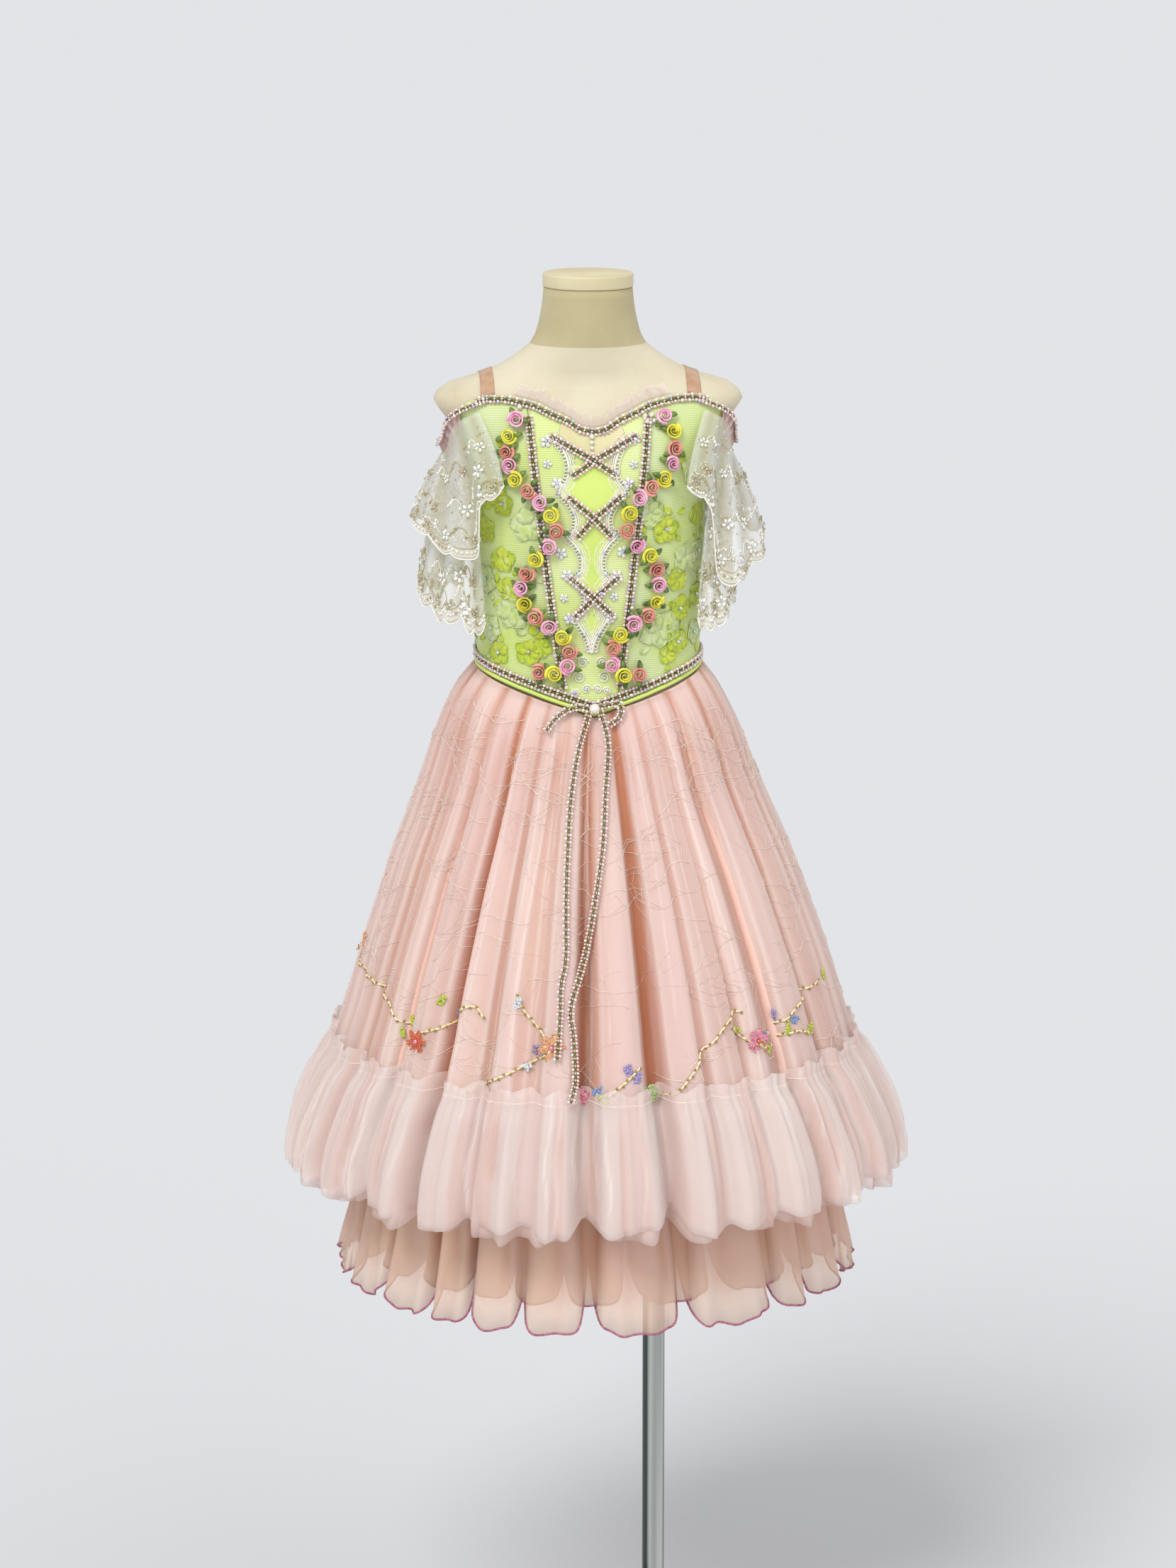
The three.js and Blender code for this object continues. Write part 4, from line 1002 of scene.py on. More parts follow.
innerPiece = skirtLayer("underskirt_inner_chiffon", innerPetals, innerPoint,
                        lambda v: mix(innerPetals["hemShare"], innerPetals["topShare"], v))
innerChiffon = foldedNet("innerChiffon", "dfb096", "c08468", 0.8, 0.9, edge="e4c4b2", creaseCover=-0.35)
dress(innerPiece, innerChiffon, "peach_chiffon")
hemThread = mottledCloth("mauveHemThread", "c27f92", "984f66", 0.6, 300, 2600, 0.0002)
rollHem("underskirt_rolled_hem", underPoint, underHemShare, 900, 1.25, hemThread, "peach_chiffon")
rollHem("underskirt_inner_hem", innerPoint, innerPetals["hemShare"], 700, 1.1, hemThread, "peach_chiffon")
print("underskirt hung and hemmed")

# The dress form: linen over a padded body, a bound neck, a turned cap, a chrome pole and a round base.
formFinish = {"columns": 120, "rows": 72, "neckSeam": 1521, "pole": 12.5, "poleOffset": 74, "base": 170,
              "baseHeight": 8}


def formPoint(u, v):
    turn = (2 * u - 1) * np.pi
    z = 965 + (1584.7 - 965) * v
    soft = 6 * (1 - smoothStep(z, 965, 975)) ** 2
    seam = 0.7 * np.exp(-((z - formFinish["neckSeam"] - 4 * np.abs(np.sin(turn))) / 1.4) ** 2)
    seam = seam + 0.5 * np.exp(-(np.abs(np.abs(turn) - np.pi / 2) * 60) ** 2) * (z > 1400)
    return (onRing(turn, formRadius(turn, z) - soft - seam, z),)


def linenCloth(name, light, dark, stain):
    material, nodes, links, shader = startMaterial(name, Roughness=0.92, Sheen_Weight=0.15)
    vector = coordinatesOf(nodes, links)
    base = driftOf(nodes, links, vector, 14, dark, light)
    blots = rampOf(nodes, links, noiseOf(nodes, links, vector, 5, 5),
                   [(0.62, (1, 1, 1, 1)), (0.78, paint(stain))])
    links.new(blendOf(nodes, links, 1.0, base, blots, "MULTIPLY"), shader.inputs["Base Color"])
    for axis in ("X", "Z"):
        addBump(nodes, links, shader, ribsOf(nodes, links, vector, axis, 1300), 0.25, 0.00025)
    addBump(nodes, links, shader, noiseOf(nodes, links, vector, 180), 0.35, 0.0005)
    return material


def buildForm():
    body = clothGrid("form_linen", formFinish["columns"], formFinish["rows"], formPoint, 0, around=True)
    bpy.ops.object.mode_set(mode="EDIT")
    bpy.ops.mesh.select_all(action="DESELECT")
    bpy.ops.mesh.select_non_manifold()
    bpy.ops.mesh.edge_face_add()
    bpy.ops.object.mode_set(mode="OBJECT")
    dress(body, linenCloth("formLinen", "dfd6bd", "d5c9ab", "c8bb98"), "linen", "form_body")
    body.data.materials.append(linenCloth("neckLinen", "c6ba92", "b9ac82", "ab9d73"))
    for face in body.data.polygons:
        face.use_smooth = abs(face.normal.z) < 0.99
        middle = face.center / mm
        seamLevel = formFinish["neckSeam"] + 4 * abs(middle.x) / max(1, math.hypot(middle.x, middle.y))
        face.material_index = 1 if middle.z > seamLevel else 0


def turnedPiece(name, radius, depth, middle, bevels, sides=96):
    bpy.ops.mesh.primitive_cylinder_add(vertices=sides, radius=radius * mm, depth=depth * mm,
                                        location=[c * mm for c in middle])
    piece = bpy.context.object
    piece.name = name
    piece.data.name = name
    bpy.ops.object.transform_apply(location=True)
    rim = piece.modifiers.new("rim", "BEVEL")
    rim.width, rim.segments, rim.limit_method = bevels * mm, 4, "ANGLE"
    bpy.ops.object.modifier_apply(modifier=rim.name)
    bpy.ops.object.shade_smooth_by_angle(angle=math.radians(40))
    return piece


# Chrome whose colour runs in dark and light streaks up the tube: a painted reflection.
def chromePlate(name, scale, dark, light):
    material, nodes, links, shader = startMaterial(name, Roughness=0.14, Metallic=1.0)
    vector = coordinatesOf(nodes, links, stretch=(1, 1, 0.01))
    tintAndPaintedLight = driftOf(nodes, links, vector, scale, dark, light, 0.36, 0.62, 1)
    links.new(tintAndPaintedLight, shader.inputs["Base Color"])
    return material


buildForm()
cap = turnedPiece("form_cap_wood", 49, 15, (0, 0, 1592.5), 2.2)
bpy.ops.object.mode_set(mode="EDIT")
bpy.ops.mesh.select_all(action="DESELECT")
bpy.ops.object.mode_set(mode="OBJECT")
for face in cap.data.polygons:
    face.select = face.normal.z > 0.99 and face.area > 0.004
bpy.ops.object.mode_set(mode="EDIT")
bpy.ops.mesh.inset(thickness=0.0012, depth=-0.0004)
bpy.ops.mesh.inset(thickness=0.0008, depth=0.0004)
bpy.ops.object.mode_set(mode="OBJECT")
dress(cap, mottledCloth("capWood", "e2d7b4", "d2c69d", 0.5, 12, 300, 0.0002), "neck_linen", "form_cap")
poleSpan = (formFinish["baseHeight"] + 0.3, 964.7)
pole = turnedPiece("pole_tube", formFinish["pole"], poleSpan[1] - poleSpan[0],
                   (formFinish["poleOffset"], 0, sum(poleSpan) / 2), 0.6)
dress(pole, chromePlate("chromePole", 75, "4d5551", "d9dcd8"), "chrome", "pole")
base = turnedPiece("base_plate", formFinish["base"], formFinish["baseHeight"],
                   (0, 0, formFinish["baseHeight"] / 2), 2.4, 160)
dress(base, chromePlate("chromeBase", 5, "bfc4c1", "d4d8d5"), "chrome", "base")
print("dress form stands on its pole")

# Bodice panels over the form, each cut between two seams.
seamTurns = {side: (lambda z, side=side: turnAt(princess(z, side), z)) for side in ("left", "right")}
for name, degrees in (("sideLeft", -90), ("sideRight", 90), ("backLeft", -180), ("backRight", 180)):
    seamTurns[name] = lambda z, degrees=degrees: z * 0 + math.radians(degrees)
bodicePanels = {
    "centre_front": {"from": seamTurns["left"], "to": seamTurns["right"], "columns": 44,
                     "flat": (0.10, 0.33)},
    "side_front_left": {"from": seamTurns["sideLeft"], "to": seamTurns["left"], "columns": 48,
                        "flat": (0.15, 0.31)},
    "side_front_right": {"from": seamTurns["right"], "to": seamTurns["sideRight"], "columns": 48,
                         "flat": (0.16, 0.31)},
    "back_left": {"from": seamTurns["backLeft"], "to": seamTurns["sideLeft"], "columns": 48,
                  "flat": (0.19, 0.23)},
    "back_right": {"from": seamTurns["sideRight"], "to": seamTurns["backRight"], "columns": 48,
                   "flat": (0.19, 0.23)},
}
bones = {"turns": [-152, -118, -76, -52, 46, 74, 118, 152], "width": 2.0, "height": 0.7}
wrinkles = [ # turn, middle height, half width, half height, depth
    (-66, 1205, 14, 3.5, 0.6), (-58, 1240, 12, 4, 0.5), (62, 1210, 15, 3.5, 0.6), (70, 1262, 12, 4, 0.5),
    (-80, 1320, 12, 5, 0.6), (80, 1345, 12, 5, 0.6), (0, 1300, 9, 5, 0.4), (3, 1200, 8, 4, 0.5),
    (120, 1230, 14, 4, 0.6), (-120, 1235, 14, 4, 0.6), (150, 1330, 14, 5, 0.5), (-150, 1330, 14, 5, 0.5),
]


def clothSwell(turn, z):
    degrees = np.degrees(turn)
    swell = sum(bones["height"] * np.exp(-((degrees - b) / bones["width"]) ** 2) for b in bones["turns"])
    dips = sum(deep * np.exp(-((degrees - t) / wide) ** 2 - ((z - level + 0.25 * (degrees - t)) / tall) ** 2)
               for t, level, wide, tall, deep in wrinkles)
    return swell - dips


def bodicePoint(panel, u, v):
    z = np.full_like(u, 1300.0)
    turn = np.zeros_like(u)
    for _ in range(8):
        start, end = panel["from"](z), panel["to"](z)
        inset = bodiceCloth["seam"] / formRadius(start, z)
        turn = mix(start + inset, end - inset, u)
        z = mix(lowerAt(turn), upperAt(turn), v)
    roll = 0.5 * (1 - smoothStep(np.minimum(u, 1 - u), 0, 0.03))
    return (onBodice(turn, z, clothSwell(turn, z) * smoothStep(np.minimum(v, 1 - v), 0, 0.06) - roll),)


def ribbedOrganza(name, light, dark):
    material, nodes, links, shader = startMaterial(name, Roughness=0.62, Sheen_Weight=0.2)
    vector = coordinatesOf(nodes, links)
    base = driftOf(nodes, links, vector, 12, dark, light, 0.36, 0.64)
    rib = ribsOf(nodes, links, vector, "Z", 420)
    stripe = rampOf(nodes, links, rib, [(0.0, (0.93, 0.95, 0.93, 1)), (1.0, (1, 1, 1, 1))])
    links.new(blendOf(nodes, links, 1.0, base, stripe, "MULTIPLY"), shader.inputs["Base Color"])
    addBump(nodes, links, shader, rib, 0.35, 0.0003)
    addBump(nodes, links, shader, noiseOf(nodes, links, vector, 60, 4), 0.4, 0.0008)
    return material


def limeSatinCloth():
    material, nodes, links, shader = startMaterial(
        "limeSatin", Roughness=0.42, Sheen_Weight=0.1, Anisotropic=0.5)
    vector = coordinatesOf(nodes, links)
    base = driftOf(nodes, links, vector, 16, "cde26e", "dbee80")
    links.new(base, shader.inputs["Base Color"])
    addBump(nodes, links, shader, noiseOf(nodes, links, vector, 30, 4), 0.5, 0.0012)
    addBump(nodes, links, shader, ribsOf(nodes, links, vector, "X", 1900), 0.12, 0.0001)
    return material


organza = ribbedOrganza("greenOrganza", "d6e2aa", "cfe07c")
limeOrganza = ribbedOrganza("limeOrganza", "e3edaa", "d6e48c")
limeSatin = limeSatinCloth()
for name, panel in bodicePanels.items():
    cut = clothGrid(f"bodice_{name}_cloth", panel["columns"], 46,
                    lambda u, v: bodicePoint(panel, u, v), bodiceCloth["wall"])
    centre = name == "centre_front"
    dress(cut, limeOrganza if centre else organza, "lime_satin" if centre else "green_organza",
          f"bodice_{name}")
print("bodice panels cut")

# Beaded braids on the bodice.
neckBraid = {"reach": math.radians(68), "drop": 5}
waistBraidRise = 6.5


def braidOn(name, turns, heights, seed, nodeName, lift=0.9):
    points = onBodice(turns, heights, lift)
    heap = newHeap()
    pileBraid(heap, points, formNormal(turns, heights), seed)
    heapPiece(name, heap, braidMaterials, "olive_braid", nodeName)


turns = np.linspace(-neckBraid["reach"], neckBraid["reach"], 160)
braidOn("neckline_beaded_braid", turns, upperAt(turns) - neckBraid["drop"], 41, "neckline_braid")
turns = np.linspace(-np.pi, np.pi, 420)
braidOn("waist_beaded_braid", turns, lowerAt(turns) + waistBraidRise, 42, "waist_braid")
for number, side in enumerate(("left", "right")):
    heights = np.linspace(1162, 1452, 90)
    braidOn(f"princess_beaded_braid_{side}", seamTurns[side](heights), heights, 43 + number,
            f"princess_braid_{side}")
lacings = { # middle height, then reach and height of the upper and the lower ends
    "upper": (1408, (46, 1433), (23, 1393)), "middle": (1348, (28, 1371), (18, 1328)),
    "lower": (1261, (26, 1284), (20, 1241)),
}
for name, (middle, upper, lower) in lacings.items():
    heap = newHeap()
    for hand, lift in ((1, 0.7), (-1, 3.4)):
        x = np.array([-hand * lower[0], 0, hand * upper[0] / 2, hand * upper[0]], float)
        z = np.array([lower[1], middle, (middle + upper[1]) / 2, upper[1]], float)
        line = smoothLine(np.stack([x, z], -1), 8)
        turns = turnAt(line[:, 0], line[:, 1])
        over = lift * np.exp(-(line[:, 0] / 9) ** 2) if lift > 1 else lift
        pileBraid(heap, onBodice(turns, line[:, 1], 0.9 + over), formNormal(turns, line[:, 1]), 50 + hand,
                  False, 3.2)
    heapPiece(f"lacing_beaded_braid_{name}", heap, braidMaterials, "olive_braid", f"lacing_braid_{name}")
print("braids sewn on")

# Satin piping under the bodice's edge.
pipingRadius = 2.5
turns = np.linspace(-np.pi, np.pi, 300, endpoint=False)
heights = lowerAt(turns) - 0.4 - pipingRadius
heap = newHeap()
pileThread(heap, onForm(turns, heights, 1.6 + pipingRadius), formNormal(turns, heights), pipingRadius, 12,
           0, loop=True)
heapPiece("basque_satin_piping", heap, [limeSatin], "lime_satin", "basque_piping")

# The bow at the front point: a tail, a loop and a large pearl.
bow = {
    "knot": (0, -99.1, 1140), "pearl": 5.8,
    "tail": [(0, -99.1, 1140), (-22, -100.7, 1142), (-40, -107, 1134), (-53, -117.5, 1121)],
    "loop": [(0, -99.1, 1140), (14, -99.7, 1144.5), (27, -101.7, 1145), (27, -107, 1133), (16, -110.5, 1125)],
}
heap = newHeap()
for part in ("tail", "loop"):
    line = smoothLine(bow[part], 10)
    along = unit(np.gradient(line, axis=0))
    facing = unit(np.cross(along, np.cross(np.array([0, -1.0, 0.35]), along)))
    pileBraid(heap, line - facing * 1.2, facing, 61, False, 2.9)
pileOne(heap, bigPearlShape, np.array(bow["knot"]) + (0, -3, 0.5), (0, -1.0, 0), bow["pearl"], pearlKind,
        (1.0, 0, 0))
heapPiece("bow_beaded", heap, braidMaterials, "olive_braid", "bow")
print("bow tied")

# Ribbon roses along the two garlands, with satin leaves beside them.
roseCut = {"columns": 38, "rows": 5, "turns": 2.6, "ribbon": 0.35, "core": 1.0, "spread": 4.7, "height": 8.2,
           "outerHeight": 4.5, "flare": 3.4, "petalTurn": 1.45, "foot": 0.2}
garlands = {
    "left": [
        (-80, 1447.5), (-88, 1433), (-90, 1417), (-86, 1403), (-80, 1388), (-67, 1377.5), (-55, 1366),
        (-45, 1352), (-40, 1335), (-46, 1318), (-60, 1304), (-69, 1288), (-74, 1271), (-71, 1254),
        (-60, 1241), (-46, 1231), (-33, 1220), (-26, 1204), (-27, 1187), (-41, 1177.5), (-57, 1178.5),
    ],
    "right": [
        (75, 1450), (84, 1436), (85.5, 1419), (82, 1403), (73, 1388.5), (58, 1380), (45, 1369),
        (36, 1354), (34, 1336), (43, 1319), (57, 1307), (66, 1291), (68, 1273), (65, 1256), (56, 1241),
        (41, 1233), (27, 1222), (19, 1206), (18, 1188), (31, 1176), (47, 1175.5),
    ],
}
roseColors = {"pink": ("fac6dc", "ea98bd"), "yellow": ("f6f054", "d2c828"), "coral": ("f0a898", "d98373")}


def rosePoint(u, v):
    style = roseCut
    spin = 2 * np.pi * style["turns"] * u
    petal = (spin / (2 * np.pi / style["petalTurn"])) % 1
    scallop = np.sin(np.pi * petal) ** 0.5
    foot = style["core"] + style["spread"] * u ** 0.85
    flare = (0.25 + style["flare"] * u ** 1.6) * (0.62 + 0.42 * scallop) * v ** 2
    curl = 1.5 * u * smoothStep(v, 0.72, 1) * scallop
    top = mix(style["height"], style["outerHeight"], u) * (0.86 + 0.18 * scallop)
    radius = foot + flare + 0.35 * petal
    height = style["foot"] + top * np.sin(0.5 * np.pi * np.minimum(1, 1.12 * v)) - curl
    return (np.stack([radius * np.cos(spin), radius * np.sin(spin), height], -1),)


def leafPoint(u, v):
    across, along = 2 * u - 1, v
    width = 3.1 * np.sin(np.pi * np.clip(along * 0.9 + 0.06, 0, 1)) ** 0.8
    arch = 3.4 * np.sin(np.pi * along) ** 1.3
    return (np.stack([11.5 * along, across * width, 0.6 + arch - 0.9 * across ** 2], -1),)


def readMaster(name, columns, rows, place, wall):
    clothGrid(name, columns, rows, place, wall)
    return masterShape((1 / mm,) * 3)


roseShape = readMaster("rose_pattern", roseCut["columns"], roseCut["rows"], rosePoint, roseCut["ribbon"])
leafShape = readMaster("leaf_pattern", 4, 7, leafPoint, 0.35)


def satinRibbon(name, light, dark):
    material, nodes, links, shader = startMaterial(name, Roughness=0.36, Sheen_Weight=0.15, Anisotropic=0.4)
    vector = coordinatesOf(nodes, links)
    tintAndPaintedLight = driftOf(nodes, links, vector, 120, dark, light, 0.36, 0.58)
    links.new(tintAndPaintedLight, shader.inputs["Base Color"])
    addBump(nodes, links, shader, ribsOf(nodes, links, vector, "Z", 2600), 0.1, 0.00008)
    addBump(nodes, links, shader, noiseOf(nodes, links, vector, 500), 0.3, 0.0003)
    return material


ribbonMaterials = [satinRibbon(name + "Ribbon", *shades) for name, shades in roseColors.items()]
ribbonMaterials += [satinRibbon("leafRibbon", "718c38", "3c541a"), crystal, pearlGlass]
leafKind, dewKind, dewPearlKind = 3, 4, 5
garlandLift = {"lift": 0.3, "braid": 4.9, "near": 15, "far": 25}


def strewGarland(side, seed):
    draw = random.Random(seed)
    x, z = np.array(garlands[side], float).T
    apart = np.abs(x - princess(z, side))
    clear = smoothStep(apart, garlandLift["near"], garlandLift["far"])
    lift = garlandLift["lift"] + garlandLift["braid"] * (1 - clear)
    turns = turnAt(x, z)
    middles, normals = onBodice(turns, z, lift), formNormal(turns, z)
    upward = np.cross(normals, np.cross(np.array([0, 0, 1.0]), normals))
    sideways = unit(np.cross(upward, normals))
    heap = newHeap()
    for i, middle in enumerate(middles):
        spin = draw.uniform(0, 2 * math.pi)
        face = unit(normals[i] + sideways[i] * draw.uniform(-0.16, 0.16)
                    + upward[i] * draw.uniform(-0.2, 0.1))
        along = unit(upward[i] * math.cos(spin) + sideways[i] * math.sin(spin))
        size = draw.uniform(1.06, 1.17)
        pileOne(heap, roseShape, middle, face, (size, size, draw.uniform(0.92, 1.06)), i % 3, along)
        path = unit(middles[min(i + 1, len(x) - 1)] - middles[max(i - 1, 0)])
        across = np.cross(path, normals[i])
        for hand in (-1, 1):
            if draw.random() < 0.12:
                continue
            away = unit(across * hand + path * draw.uniform(-0.75, 0.75))
            pileOne(heap, leafShape, middle + away * draw.uniform(3.2, 4.6), normals[i],
                    (1, 1, draw.uniform(0.8, 1.2)), leafKind, away)
        if draw.random() < 0.25:
            pileOne(heap, pearlShape, middle + face * 7.4 + along * draw.uniform(0, 4), face, 1.1,
                    dewKind if draw.random() < 0.6 else dewPearlKind, along)
    heapPiece(f"rose_garland_{side}_ribbon", heap, ribbonMaterials, "rose_ribbon", f"rose_garland_{side}")


strewGarland("left", 71)
strewGarland("right", 72)
print("roses set on their garlands")

# The placket of lime satin between two scalloped laces, with sheer mesh above it.
laceCurve = [ # middle of the left lace, x and z; the right one mirrors it about the line below
    (-44, 1432), (-33, 1420), (-27, 1404), (-29, 1388), (-37, 1376), (-28, 1366), (-20, 1350),
    (-21, 1336), (-29, 1329), (-20, 1319), (-13, 1305), (-14, 1290), (-22, 1282), (-14, 1272),
    (-10, 1259), (-12, 1247), (-19, 1239), (-13, 1227), (-6, 1213), (-3, 1200),
]
placket = {"middle": -2.5, "wall": 0.4, "lift": 0.15, "top": 1404, "bottom": 1212, "columns": 20, "rows": 60}
laceHalf = smoothTable(["z", "half"], [(z, -x + placket["middle"]) for x, z in reversed(laceCurve)])


def placketPoint(u, v):
    z = mix(placket["bottom"], placket["top"], v)
    x = placket["middle"] + (2 * u - 1) * (np.maximum(laceHalf(z, "half"), 1.5) + 1.5)
    soft = 0.5 * np.sin(z / 17 + 0.8) * np.cos(x / 16)
    return (onBodice(turnAt(x, z), z, placket["lift"] + placket["wall"] + 0.5 + soft * 0.6),)


placketPiece = clothGrid("placket_satin", placket["columns"], placket["rows"], placketPoint, placket["wall"])
dress(placketPiece, limeSatin, "lime_satin")


def meshTopPoint(u, v):
    turn = mix(-0.43, 0.38, u)
    top = upperAt(turn) - 2
    x = formRadius(turn, top) * np.sin(turn)
    low = 1409 + 0.58 * np.abs(x - placket["middle"])
    z = mix(np.minimum(low, top - 1), top, v)
    return (onBodice(turn, z, 0.75),)


meshTop = clothGrid("mesh_yoke", 36, 10, meshTopPoint, 0.35)
nudeMesh = ribbedOrganza("nudeMesh", "e6dcae", "d9cf98")
dress(meshTop, nudeMesh, "nude_elastic")

beadFlower = {"petals": 5, "petal": (3.4, 2.5, 1.1), "reach": 4.2, "small": 0.72}
flowerPlaces = { # x, z and whether the flower is a large one
    "left": [(-50, 1428, 1), (-49, 1405, 0), (-39, 1385, 1), (-35, 1310, 1), (-29, 1286, 1), (-32, 1261, 0),
             (-26, 1238, 1)],
    "right": [(43, 1430, 1), (42, 1404, 0), (36, 1384, 1), (30, 1311, 1), (24, 1285, 1), (21, 1262, 0),
              (18, 1239, 1)],
}
silverKind, threadKind = 5, 6


def patchOn(turn, z, a, b, lift):
    return onBodice(turn + a / (formRadius(turn, z) + clothOut), z + b, lift)


def pileBeadFlower(heap, x, z, size, spin, lift=1.3):
    turn = float(turnAt(x, z))
    angles = spin + 2 * np.pi * np.arange(beadFlower["petals"]) / beadFlower["petals"]
    reach = beadFlower["reach"] * size
    middles = patchOn(turn, z, reach * np.cos(angles), reach * np.sin(angles), lift)
    centre = patchOn(turn, z, 0.0, 0.0, lift + 0.9)
    normals = np.broadcast_to(formNormal(turn, z), middles.shape)
    pileCopies(heap, beadShape, middles, middles - centre, normals, np.array(beadFlower["petal"]) * size,
               silverKind)
    pileOne(heap, pearlShape, centre, normals[0], 1.7 * size, crystalKind)


def trimPlacket(side, seed):
    draw = random.Random(seed)
    hand = -1 if side == "left" else 1
    curve = smoothLine([(placket["middle"] + hand * (placket["middle"] - x), z) for x, z in laceCurve], 8)
    flat = np.c_[curve, np.zeros(len(curve))]
    line, along, _, at = evenLine(flat, np.tile([0, 0, 1.0], (len(flat), 1)), 1.0)
    inward = np.stack([along[:, 1], -along[:, 0]], -1) * (1 if hand < 0 else -1)
    heap = newHeap()

    def thread(offset, lift, radius, kind, wobble=0.0):
        xz = line[:, :2] - inward * (offset + wobble * np.sin(at * 1.9))[:, None]
        turns = turnAt(xz[:, 0], xz[:, 1])
        pileThread(heap, onBodice(turns, xz[:, 1], lift), formNormal(turns, xz[:, 1]), radius, 4, kind)

    thread(0.2 + 0 * at, 1.5, 1.0, threadKind)
    thread(2.4 + 0 * at, 1.4, 0.8, threadKind)
    thread(4.6 + 0 * at, 1.2, 0.55, threadKind, 0.5)
    thread(7.6 + 1.4 * np.sin(at / 7), 1.1, 0.5, threadKind, 0.5)
    for i in range(2, len(at) - 2, 4): # picot rings down the inner edge
        middle = line[i, :2] + inward[i] * 2.6
        angles = np.linspace(0, 2 * np.pi, 9)[:-1] + draw.uniform(0, 0.7)
        x, z = middle[0] + 2.3 * np.cos(angles), middle[1] + 2.3 * np.sin(angles)
        turns = turnAt(x, z)
        pileThread(heap, onBodice(turns, z, 1.7), formNormal(turns, z), 0.66, 3, threadKind, loop=True)
    for i in range(14, len(at) - 6, 26): # crystals set along the lace
        middle = line[i, :2] + inward[i] * 0.6
        turn = turnAt(middle[0], middle[1])
        centre = onBodice(turn, middle[1], 2.6)
        normal = formNormal(turn, middle[1])
        pileOne(heap, pearlShape, centre, normal, 1.9, crystalKind)
    for x, z, large in flowerPlaces[side]:
        pileBeadFlower(heap, x, z, 1.0 if large else beadFlower["small"], draw.uniform(0, 1.2))
    for i in range(10, len(at) - 10, 9): # loose seeds scattered outside the lace
        middle = line[i, :2] - inward[i] * draw.uniform(6.5, 9.5)
        turn = turnAt(middle[0], middle[1])
        if abs(middle[0] - princess(middle[1], side)) > 7:
            lean = (draw.random(), 0, 1.0)
            pileOne(heap, seedShape, onBodice(turn, middle[1], 0.9), formNormal(turn, middle[1]),
                    [1.1, 0.8, 0.8], draw.choice([pinkKind, whiteKind]), lean)
    heapPiece(f"placket_lace_{side}", heap, braidMaterials + [silverBead, placketThread], "white_lace")


silverBead = beadGlass("silverBead", "f4f3f2", 0.2, 0.15, 1.0)
placketThread = mottledCloth("placketThread", "fffdf7", "efe9da", 0.6, 300)
trimPlacket("left", 81)
trimPlacket("right", 82)


def pileScrolls(heap):
    places = [ # x, z, radius and which way the scroll turns, below the placket
        (-12, 1190, 6, 1), (9, 1190, 6, -1), (-16, 1173, 7, -1), (11, 1173, 7, 1), (-8, 1160, 5, 1),
        (4, 1160, 5, -1), (-20, 1156, 4.5, 1), (14, 1158, 4.5, -1),
    ]
    for x, z, radius, hand in places:
        angles = np.linspace(0, 3.4 * np.pi, 46)
        reach = radius * (1 - angles / (4.3 * np.pi))
        a, b = x + hand * reach * np.cos(angles), z + reach * np.sin(angles)
        turns = turnAt(a, b)
        pileThread(heap, onBodice(turns, b, 1.1), formNormal(turns, b), 0.75, 4, threadKind)
        turn = turnAt(x, z)
        pileOne(heap, pearlShape, onBodice(turn, z, 1.9), formNormal(turn, z), 1.5,
                crystalKind if hand > 0 else pearlKind)


scrollHeap = newHeap()
pileScrolls(scrollHeap)
heapPiece("placket_scrolls", scrollHeap, braidMaterials + [silverBead, placketThread], "white_lace")

# Pearl drops: four pearls below the front point of the neckline and at its two corners.
dropTurns = [(-51, 0, 4), (-1.5, 0, 4), (38, -2, 2), (42, -4, 2)]
heap = newHeap()
for degrees, drop, count in dropTurns:
    turn = math.radians(degrees)
    for i in range(count):
        z = float(upperAt(turn)) - 9.5 + drop - 5.6 * i
        pileOne(heap, pearlShape, onBodice(turn, z, 2.6), formNormal(turn, z), 2.9 - 0.25 * i, pearlKind)
heapPiece("pearl_drops", heap, braidMaterials, "white_lace")
print("placket trimmed")

# Nude elastic straps over the shoulders, each in an upright plane beside the neck.
strap = {"plane": 111, "middle": 1405, "width": 15, "lift": 1.2, "wall": 1.2, "front": 124.8, "back": -0.5}


def overShoulder(angle, x):
    near, far = np.zeros_like(angle), np.full_like(angle, 140.0)
    for _ in range(26):
        r = (near + far) / 2
        y, z = r * np.cos(angle), strap["middle"] + r * np.sin(angle)
        turn = np.arctan2(x, -y)
        inside = np.hypot(x, y) < formRadius(turn, z)
        near, far = np.where(inside, r, near), np.where(inside, far, r)
    return np.arctan2(x, -near * np.cos(angle)), strap["middle"] + near * np.sin(angle)


def strapPoint(hand, u, v):
    angle = np.radians(mix(strap["front"], strap["back"], v))
    turn, z = overShoulder(angle, np.full_like(angle, hand * strap["plane"]))
    middle, normal = onForm(turn, z, strap["lift"]), formNormal(turn, z)
    side = np.cross(normal, np.stack([0 * u, -np.sin(angle), np.cos(angle)], -1))
    puckers = 0.25 * np.sin(v * 190) * np.abs(2 * u - 1)
    return (middle + unit(side) * ((u - 0.5) * strap["width"])[:, None] + normal * puckers[:, None],)


def elasticWeb():
    material, nodes, links, shader = startMaterial("nudeElastic", Roughness=0.6, Sheen_Weight=0.3)
    vector = coordinatesOf(nodes, links)
    tintAndPaintedLight = driftOf(nodes, links, vector, 90, "b98e6b", "cba686")
    links.new(tintAndPaintedLight, shader.inputs["Base Color"])
    addBump(nodes, links, shader, ribsOf(nodes, links, vector, "X", 900), 0.4, 0.0003)
    addBump(nodes, links, shader, ribsOf(nodes, links, vector, "Z", 500), 0.25, 0.0002)
    return material


